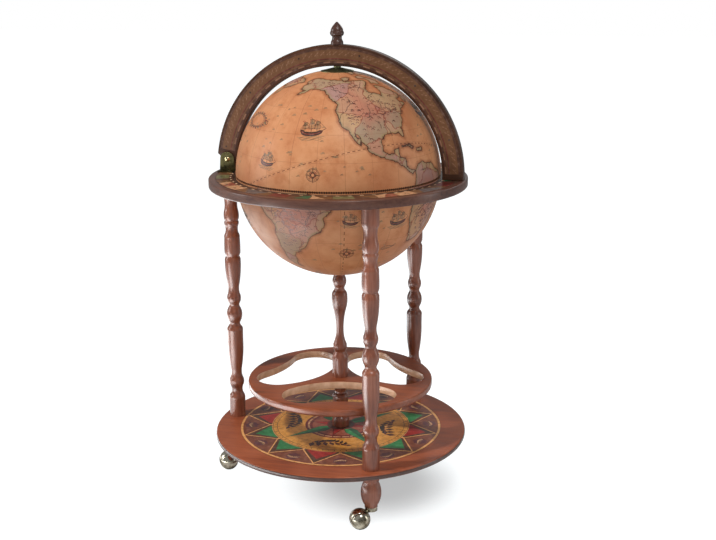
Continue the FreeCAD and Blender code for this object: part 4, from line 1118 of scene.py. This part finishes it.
upper_outline = shell_arc(GLOBE_RADIUS, HALF_SPLIT, bore_height(GLOBE_RADIUS, POLE_BORE))
upper_outline += shell_arc(GLOBE_INNER, bore_height(GLOBE_INNER, POLE_BORE), HALF_SPLIT)
add_half("globe_lid", upper_outline, UPPER_TURN, "upper_globe", "upper_hemisphere")
lip_low, lip_high = (level - GLOBE_LEVEL for level in LIP_LEVELS)
lower_outline = shell_arc(GLOBE_RADIUS, -bore_height(GLOBE_RADIUS, ROD_BORE), lip_low)
lower_outline += [(LIP_RADIUS, lip_low), (LIP_RADIUS, lip_high)]
lower_outline += shell_arc(GLOBE_RADIUS, lip_high, -HALF_SPLIT)
lower_outline += shell_arc(GLOBE_INNER, -HALF_SPLIT, -bore_height(GLOBE_INNER, ROD_BORE))
add_half("globe_bowl", lower_outline, LOWER_TURN, "stand", "lower_hemisphere")


# Inked motifs on the map. Each stroke is a thin closed ribbon laid on the globe about a place.

INK_TOP = GLOBE_RADIUS + 0.00012
INK_FOOT = GLOBE_RADIUS - 0.0003
INK_STEP = 0.003
MAP_INKS = {"dark": (66, 42, 32), "wash": (124, 104, 74), "rust": (148, 66, 50)}
map_ink_materials = [make_print(f"map_ink_{name}", ink) for name, ink in MAP_INKS.items()]
map_ink_index = {name: index for index, name in enumerate(MAP_INKS)}


def ribbon(points, width, place):
    """Vertices and faces of a stroke along (east, north) points about a place on the globe."""
    path = [np.array(points[0])]
    for start, end in zip(np.array(points), np.array(points[1:])):
        steps = max(1, math.ceil(np.linalg.norm(end - start) / INK_STEP))
        path += [start + (end - start) * share for share in np.linspace(0.0, 1.0, steps + 1)[1:]]
    path = np.array(path)
    way = np.gradient(path, axis=0)
    way /= np.linalg.norm(way, axis=1)[:, None]
    half = np.full(len(path), width / 2.0)
    half[[0, -1]] *= 0.5
    side = np.stack((-way[:, 1], way[:, 0]), axis=1) * half[:, None]
    corners = []
    for hand, reach in ((-1.0, INK_FOOT), (-1.0, INK_TOP), (1.0, INK_TOP), (1.0, INK_FOOT)):
        edge = path + hand * side
        flat = np.column_stack((edge, np.full(len(edge), GLOBE_RADIUS))) @ place.T
        corners.append(flat * (reach / np.linalg.norm(flat, axis=1))[:, None])
    vertices = np.stack(corners, axis=1).reshape(-1, 3) + np.array((0.0, 0.0, GLOBE_LEVEL))
    faces = [(0, 1, 2, 3)]
    for row in range(0, len(vertices) - 4, 4):
        for corner in range(4):
            after = (corner + 1) % 4
            faces.append((row + corner, row + 4 + corner, row + 4 + after, row + after))
    last = len(vertices) - 4
    faces.append((last + 3, last + 2, last + 1, last))
    return [tuple(v) for v in vertices], faces


def scaled(strokes, size):
    return [([(x * size, y * size) for x, y in points], width * size, ink) for points, width, ink in strokes]


HULL = ((-0.92, 0.34), (-0.86, 0.1), (-0.72, -0.1), (-0.4, -0.22), (0.1, -0.25), (0.55, -0.18),
        (0.82, -0.02), (0.96, 0.2))
DECK = ((-0.92, 0.34), (-0.62, 0.3), (-0.58, 0.14), (0.0, 0.06), (0.5, 0.1), (0.62, 0.2), (0.96, 0.2))
# Each mast's place along the ship, foot and top, and each sail's foot, head and half width
MASTS = ((-0.52, 0.2, 1.02), (0.0, 0.06, 1.3), (0.46, 0.1, 1.08))
SAILS = ((0.26, 0.6, 0.23), (0.66, 0.92, 0.16))


def ship():
    """A three-masted ship of about two units, under full sail."""
    strokes = []
    lengths = np.linspace(-0.9, 0.94, 16)
    for share in np.linspace(0.0, 1.0, 7):
        level = (1.0 - share) * np.interp(lengths, *zip(*DECK)) + share * np.interp(lengths, *zip(*HULL))
        strokes.append((list(zip(lengths, level)), 0.05, "rust" if share == 0.5 else "dark"))
    for mast, foot, top in MASTS:
        strokes.append(([(mast, foot), (mast + 0.02, top)], 0.04, "dark"))
        pennant = [(mast + 0.03, top), (mast - 0.1, top + 0.06), (mast - 0.26, top + 0.02)]
        strokes.append((pennant, 0.05, "rust"))
        for low, high, half in SAILS:
            bottom = foot + (top - foot) * low
            rise = (top - foot) * (high - low)
            for share in np.linspace(-1.0, 1.0, 6):
                line = [(mast + half * share + 0.08 * math.sin(math.pi * t), bottom + rise * t)
                        for t in np.linspace(0.0, 1.0, 6)]
                strokes.append((line, 0.035, "dark" if abs(share) == 1.0 else "wash"))
            for level in (bottom, bottom + rise):
                yard = [(mast - half, level), (mast, level - 0.02), (mast + half, level)]
                strokes.append((yard, 0.04, "dark"))
    strokes.append(([(0.9, 0.2), (1.22, 0.42)], 0.045, "dark"))
    strokes.append(([(1.2, 0.4), (0.48, 1.08)], 0.02, "dark"))
    strokes.append(([(-0.9, 0.34), (-0.5, 1.0)], 0.02, "dark"))
    for row in range(4):
        lengths = np.linspace(-1.15 + 0.12 * row, 1.2 - 0.16 * row, 20)
        wave = [(x, -0.31 - 0.09 * row + 0.03 * math.sin(9.0 * x + 2.0 * row)) for x in lengths]
        strokes.append((wave, 0.03, "wash"))
    return strokes


def wind_rose():
    """A sixteen-pointed star in two rings, one unit in radius, its north point longest."""
    strokes = []
    for radius, width in ((1.0, 0.06), (0.84, 0.04)):
        strokes.append((circle(radius, 48) + [(radius, 0.0)], width, "dark"))
    for index in range(16):
        angle = 22.5 * index
        reach = 1.4 if index == 4 else (1.2, 0.7, 0.92, 0.7)[index % 4]
        ink = "rust" if index % 4 == 2 else "dark"
        for turn in (-14.0, 0.0, 7.0, 14.0):
            strokes.append(([polar(0.24, angle + turn), polar(reach, angle)], 0.05, ink))
    return strokes


def oval(share, angle):
    return share * math.cos(math.radians(angle)), 0.48 * share * math.sin(math.radians(angle))


def cartouche():
    """An empty oval in a wreath of leaves, one unit in half length."""
    strokes = []
    for share, width in ((1.0, 0.045), (0.86, 0.03)):
        strokes.append(([oval(share, angle) for angle in np.linspace(0.0, 360.0, 61)], width, "dark"))
    for index in range(40):
        angle = 9.0 * index
        lean = 12.0 if index % 2 else -6.0
        leaf = [oval(1.02, angle), oval(1.12, angle + 0.4 * lean), oval(1.24, angle + lean)]
        strokes.append((leaf, 0.07, ("wash", "dark", "rust")[index % 3]))
    for side in (-1.0, 1.0):
        curl = [(side * (1.3 + 0.012 * t * math.cos(0.6 * t)), 0.012 * t * math.sin(0.6 * t))
                for t in range(3, 17)]
        strokes.append((curl, 0.05, "dark"))
    return strokes


def whale():
    """A spouting whale of about two units."""
    back = [(-1.0, -0.05), (-0.85, 0.24), (-0.45, 0.4), (0.1, 0.34), (0.6, 0.12), (0.9, 0.2), (1.1, 0.48)]
    belly = [(-1.0, -0.05), (-0.6, -0.2), (0.0, -0.16), (0.6, -0.02), (1.0, 0.08), (1.2, 0.28)]
    return [
        (back, 0.06, "dark"),
        (belly, 0.06, "dark"),
        ([(-0.9, 0.04), (-0.5, 0.12), (0.1, 0.1), (0.7, 0.05)], 0.05, "wash"),
        ([(-0.8, -0.06), (-0.4, -0.04), (0.1, -0.02)], 0.05, "wash"),
        ([(-0.6, 0.44), (-0.64, 0.7), (-0.84, 0.84)], 0.04, "wash"),
        ([(-0.57, 0.44), (-0.52, 0.72), (-0.36, 0.82)], 0.04, "wash"),
    ]


def hill():
    return [
        ([(-1.0, 0.0), (-0.6, 0.7), (0.0, 1.0), (0.55, 0.66), (1.0, 0.0)], 0.3, "dark"),
        ([(0.12, 0.86), (0.34, 0.1)], 0.32, "rust"),
        ([(0.5, 0.62), (0.64, 0.06)], 0.32, "rust"),
    ]


def ripples():
    strokes = []
    for row in range(3):
        lengths = np.linspace(-1.0 + 0.3 * row, 1.0 - 0.2 * row, 7)
        strokes.append(([(x, 0.3 * row + 0.08 * math.sin(4.0 * x)) for x in lengths], 0.16, "wash"))
    return strokes


RIVER_STEP = 0.003
RIVER_WIDTH = 0.0009
SCATTER_TRIES = 6000
INLAND_DEGREES = 3.0
OFFSHORE_DEGREES = 6.0
HILL_SIZES = (0.0022, 0.0034)
RIPPLE_SIZES = (0.003, 0.005)


def river(dice):
    """A wandering line."""
    heading = dice.uniform(0.0, 2.0 * math.pi)
    points = [(0.0, 0.0)]
    for _ in range(dice.integers(7, 13)):
        heading += dice.uniform(-0.7, 0.7)
        step = (RIVER_STEP * math.cos(heading), RIVER_STEP * math.sin(heading))
        points += shifted(points[-1:], step)
    return [(points, RIVER_WIDTH, "dark")]


def scattered(dice, low, high, hills, rivers, waves):
    """Hills and rivers on the land and ripples at sea, between two latitudes."""
    longitudes = dice.uniform(-180.0, 180.0, SCATTER_TRIES)
    rises = dice.uniform(math.sin(math.radians(low)), math.sin(math.radians(high)), SCATTER_TRIES)
    latitudes = np.degrees(np.arcsin(rises))
    coasts = coast_reach(longitudes, latitudes)
    spots = np.column_stack((longitudes, latitudes))
    inland = spots[coasts > INLAND_DEGREES]
    at_sea = spots[coasts < -OFFSHORE_DEGREES]
    motifs = [(scaled(hill(), dice.uniform(*HILL_SIZES)), *spot, 0.0) for spot in inland[:hills]]
    motifs += [(river(dice), *spot, 0.0) for spot in inland[hills:hills + rivers]]
    motifs += [(scaled(ripples(), dice.uniform(*RIPPLE_SIZES)), *spot, 0.0) for spot in at_sea[:waves]]
    return motifs


def add_ink(name, motifs, turn, body):
    """One piece of all the strokes of the motifs, each given with longitude, latitude and tilt."""
    vertices = []
    faces = []
    paints = []
    for strokes, longitude, latitude, tilt in motifs:
        across = math.radians(longitude + turn)
        rise = math.radians(latitude)
        outward = (math.cos(rise) * math.cos(across), math.cos(rise) * math.sin(across), math.sin(rise))
        north = (-math.sin(rise) * math.cos(across), -math.sin(rise) * math.sin(across), math.cos(rise))
        place = np.column_stack(((-math.sin(across), math.cos(across), 0.0), north, outward))
        for points, width, ink in strokes:
            more_vertices, more_faces = ribbon(spun(points, tilt), width, place)
            first = len(vertices)
            vertices += more_vertices
            faces += [tuple(first + i for i in face) for face in more_faces]
            paints += [map_ink_index[ink]] * len(more_faces)
    add_piece(name, mesh_of(name, vertices, faces, paints), body, map_ink_materials)


upper_motifs = [
    (scaled(ship(), 0.023), -140.0, 31.0, 4.0),
    (scaled(ship(), 0.018), -166.0, 13.0, -5.0),
    (scaled(ship(), 0.024), -45.0, 37.0, -4.0),
    (scaled(ship(), 0.018), 65.0, 8.0, 0.0),
    (scaled(wind_rose(), 0.012), -137.0, 9.0, 0.0),
    (scaled(wind_rose(), 0.011), -38.0, 17.0, 0.0),
    (scaled(cartouche(), 0.03), 170.0, 35.0, 0.0),
]
lower_motifs = [
    (scaled(ship(), 0.02), 4.0, -19.0, 3.0),
    (scaled(ship(), 0.016), -25.0, -17.0, -4.0),
    (scaled(wind_rose(), 0.013), -26.0, -38.0, 0.0),
    (scaled(whale(), 0.015), 3.0, -36.0, 6.0),
    (scaled(ship(), 0.02), -105.0, -24.0, 0.0),
    (scaled(ship(), 0.02), 80.0, -28.0, 0.0),
    (scaled(whale(), 0.016), -140.0, -38.0, 0.0),
    (scaled(cartouche(), 0.026), -120.0, -52.0, 0.0),
]
dice = np.random.default_rng(7)
upper_motifs += scattered(dice, 6.0, 74.0, 620, 90, 90)
lower_motifs += scattered(dice, -72.0, -6.0, 260, 60, 90)
add_ink("map_ink_upper", upper_motifs, UPPER_TURN, "upper_globe")
add_ink("map_ink_lower", lower_motifs, LOWER_TURN, "stand")


# Casters, hinge and hardware keep their own forms and take a finish

WELD_REACH = 0.00001
BEVEL_WIDTH = 0.0004
PLAIN_EDGED = ("hinge_bracket", "hinge_pin")
CASTER_NODES = [f"caster_{part}_{side}" for side in SIDES for part in ("hood", "wheel")]
FINISHES = (
    (caster_brass, ["caster_sockets", *CASTER_NODES]),
    (hinge_brass, ["hinge_bracket", "hinge_screws"]),
    (pin_brass, ["hinge_pin"]),
    (rod_steel, ["leg_studs", "column_rod", "column_washers", "column_nuts", "pole_rod", "pole_nut"]),
    (hub_plastic, ["pole_hub"]),
    (rack_wood, ["rack_floor", "rack_posts"]),
)
for material, members in FINISHES:
    for node in members:
        piece = nodes[node]
        piece.data.materials.clear()
        piece.data.materials.append(material)
        piece.data.shade_smooth()
        if node not in PLAIN_EDGED:
            piece.modifiers.new("weld", "WELD").merge_threshold = WELD_REACH
            bevel = piece.modifiers.new("edges", "BEVEL")
            bevel.width = BEVEL_WIDTH
            bevel.segments = 2
            bevel.limit_method = "ANGLE"
            bevel.angle_limit = SHARP_EDGE


# Floor, light and camera

FLOOR_HALF = 14.0
FLOOR_LEVEL = -0.0003
FLOOR_TONE = (230, 230, 230)
SEEN_FLOOR_TONE = (148, 148, 148)
# Middle of the painted shadow on the floor under the base
PAINTED_SHADOW_MIDDLE = (0.081, -0.01, 0.0)
AMBIENT_LIGHT = 0.13
CAMERA_WHITE = 0.87
REFLECTED_LIGHT = 0.15
LIGHT_TARGET = (0.0, 0.0, 0.5)
FILL_TARGET = (0.0, 0.0, 0.6)
CAMERA_PLACE = Vector((0.6068, -2.1788, 1.0563))
LOOK_ACROSS = Vector((-0.2524, 0.968, 0.0)).normalized()
PITCH_DOWN = math.radians(15.025)
ROLL = -0.0055
LENS = 58.83
SENSOR = 36.0

scene = bpy.context.scene
scene.view_settings.view_transform = "Standard"


def floor_material():
    paint = new_paint("floor_white")
    camera_ray = paint.ray("Camera")
    x, y, _ = paint.parts(paint.place)
    paint.set(Base_Color=paint.blend(camera_ray, FLOOR_TONE, SEEN_FLOOR_TONE), Roughness=0.9)
    paint.set(Specular_IOR_Level=0.1, Emission_Color=(0.96, 0.99, 1.0, 1.0))
    # The camera sees a white floor whose glow drops under the base: a painted soft shadow, over a darker seen
    # tone that keeps the real shadow faint
    glow_with_painted_shadow = paint.vector("DISTANCE", paint.place, PAINTED_SHADOW_MIDDLE, "Value").spread(0.06, 0.22, 0.46, 1.0)
    # Bright paths, met only in reflections, draw the streaks on the turned wood and the pale rims
    front_path = abs(x - y).spread(0.25, 0.6, 1.0, 0.0) * (x + y).spread(-0.9, -0.5, 1.0, 0.0)
    front_path = front_path * (x + y).spread(-3.6, -2.8, 0.0, 8.0)
    side_path = x.spread(-0.8, -0.4, 1.0, 0.0) * x.spread(-1.5, -1.1)
    side_path = side_path * y.spread(-0.3, 0.0, 0.0, 4.5) * y.spread(0.5, 1.0, 1.0, 0.0)
    paint.set(Emission_Strength=paint.ray("Glossy") * (front_path + side_path) + camera_ray * glow_with_painted_shadow)
    return paint.owner


floor_mesh = bpy.data.meshes.new("floor")
floor_corners = [(x * FLOOR_HALF, y * FLOOR_HALF, 0.0) for x, y in ((-1, -1), (1, -1), (1, 1), (-1, 1))]
floor_mesh.from_pydata(floor_corners, [], [(0, 1, 2, 3)])
floor_mesh.materials.append(floor_material())
floor = bpy.data.objects.new("floor", floor_mesh)
scene.collection.objects.link(floor)
floor.location.z = FLOOR_LEVEL

scene.world = bpy.data.worlds.new("studio")
studio = Paint(scene.world, "Background")
studio.set(Color=(1.0, 1.0, 1.0, 1.0))
camera_light = studio.ray("Camera") * CAMERA_WHITE
studio.set(Strength=camera_light + studio.ray("Glossy") * REFLECTED_LIGHT + AMBIENT_LIGHT)


def add_light(name, place, target, width, height, power, reflected=True, lighting=True):
    light = bpy.data.lights.new(name, "AREA")
    light.shape = "RECTANGLE"
    light.size = width
    light.size_y = height
    light.energy = power
    lamp = bpy.data.objects.new(name, light)
    scene.collection.objects.link(lamp)
    lamp.location = place
    lamp.visible_glossy = reflected
    lamp.visible_diffuse = lighting
    lamp.rotation_euler = (Vector(target) - Vector(place)).to_track_quat("-Z", "Y").to_euler()


add_light("key", (-2.15, -1.55, 3.3), LIGHT_TARGET, 0.3, 0.3, 104.0, reflected=False)
add_light("side", (-2.3, -0.55, 1.1), LIGHT_TARGET, 0.6, 1.4, 18.0, lighting=False)
add_light("fill", (0.92, -1.44, 3.1), FILL_TARGET, 1.0, 1.0, 27.0)
add_light("front", (1.3, -2.9, 1.2), LIGHT_TARGET, 1.6, 1.6, 20.0, reflected=False)
add_light("right", (2.5, 0.3, 0.9), LIGHT_TARGET, 0.8, 1.4, 8.0)
add_light("back", (0.4, 2.4, 2.4), LIGHT_TARGET, 1.8, 1.2, 11.0)

look = (LOOK_ACROSS * math.cos(PITCH_DOWN) - Vector((0.0, 0.0, math.sin(PITCH_DOWN)))).normalized()
level_right = look.cross(Vector((0.0, 0.0, 1.0))).normalized()
level_up = level_right.cross(look)
right = level_right * math.cos(ROLL) + level_up * math.sin(ROLL)
up = level_up * math.cos(ROLL) - level_right * math.sin(ROLL)
lens = bpy.data.cameras.new("camera")
lens.lens = LENS
lens.sensor_width = SENSOR
lens.sensor_fit = "HORIZONTAL"
camera = bpy.data.objects.new("camera", lens)
scene.collection.objects.link(camera)
camera.matrix_world = Matrix.Translation(CAMERA_PLACE) @ Matrix((right, up, -look)).transposed().to_4x4()
scene.camera = camera
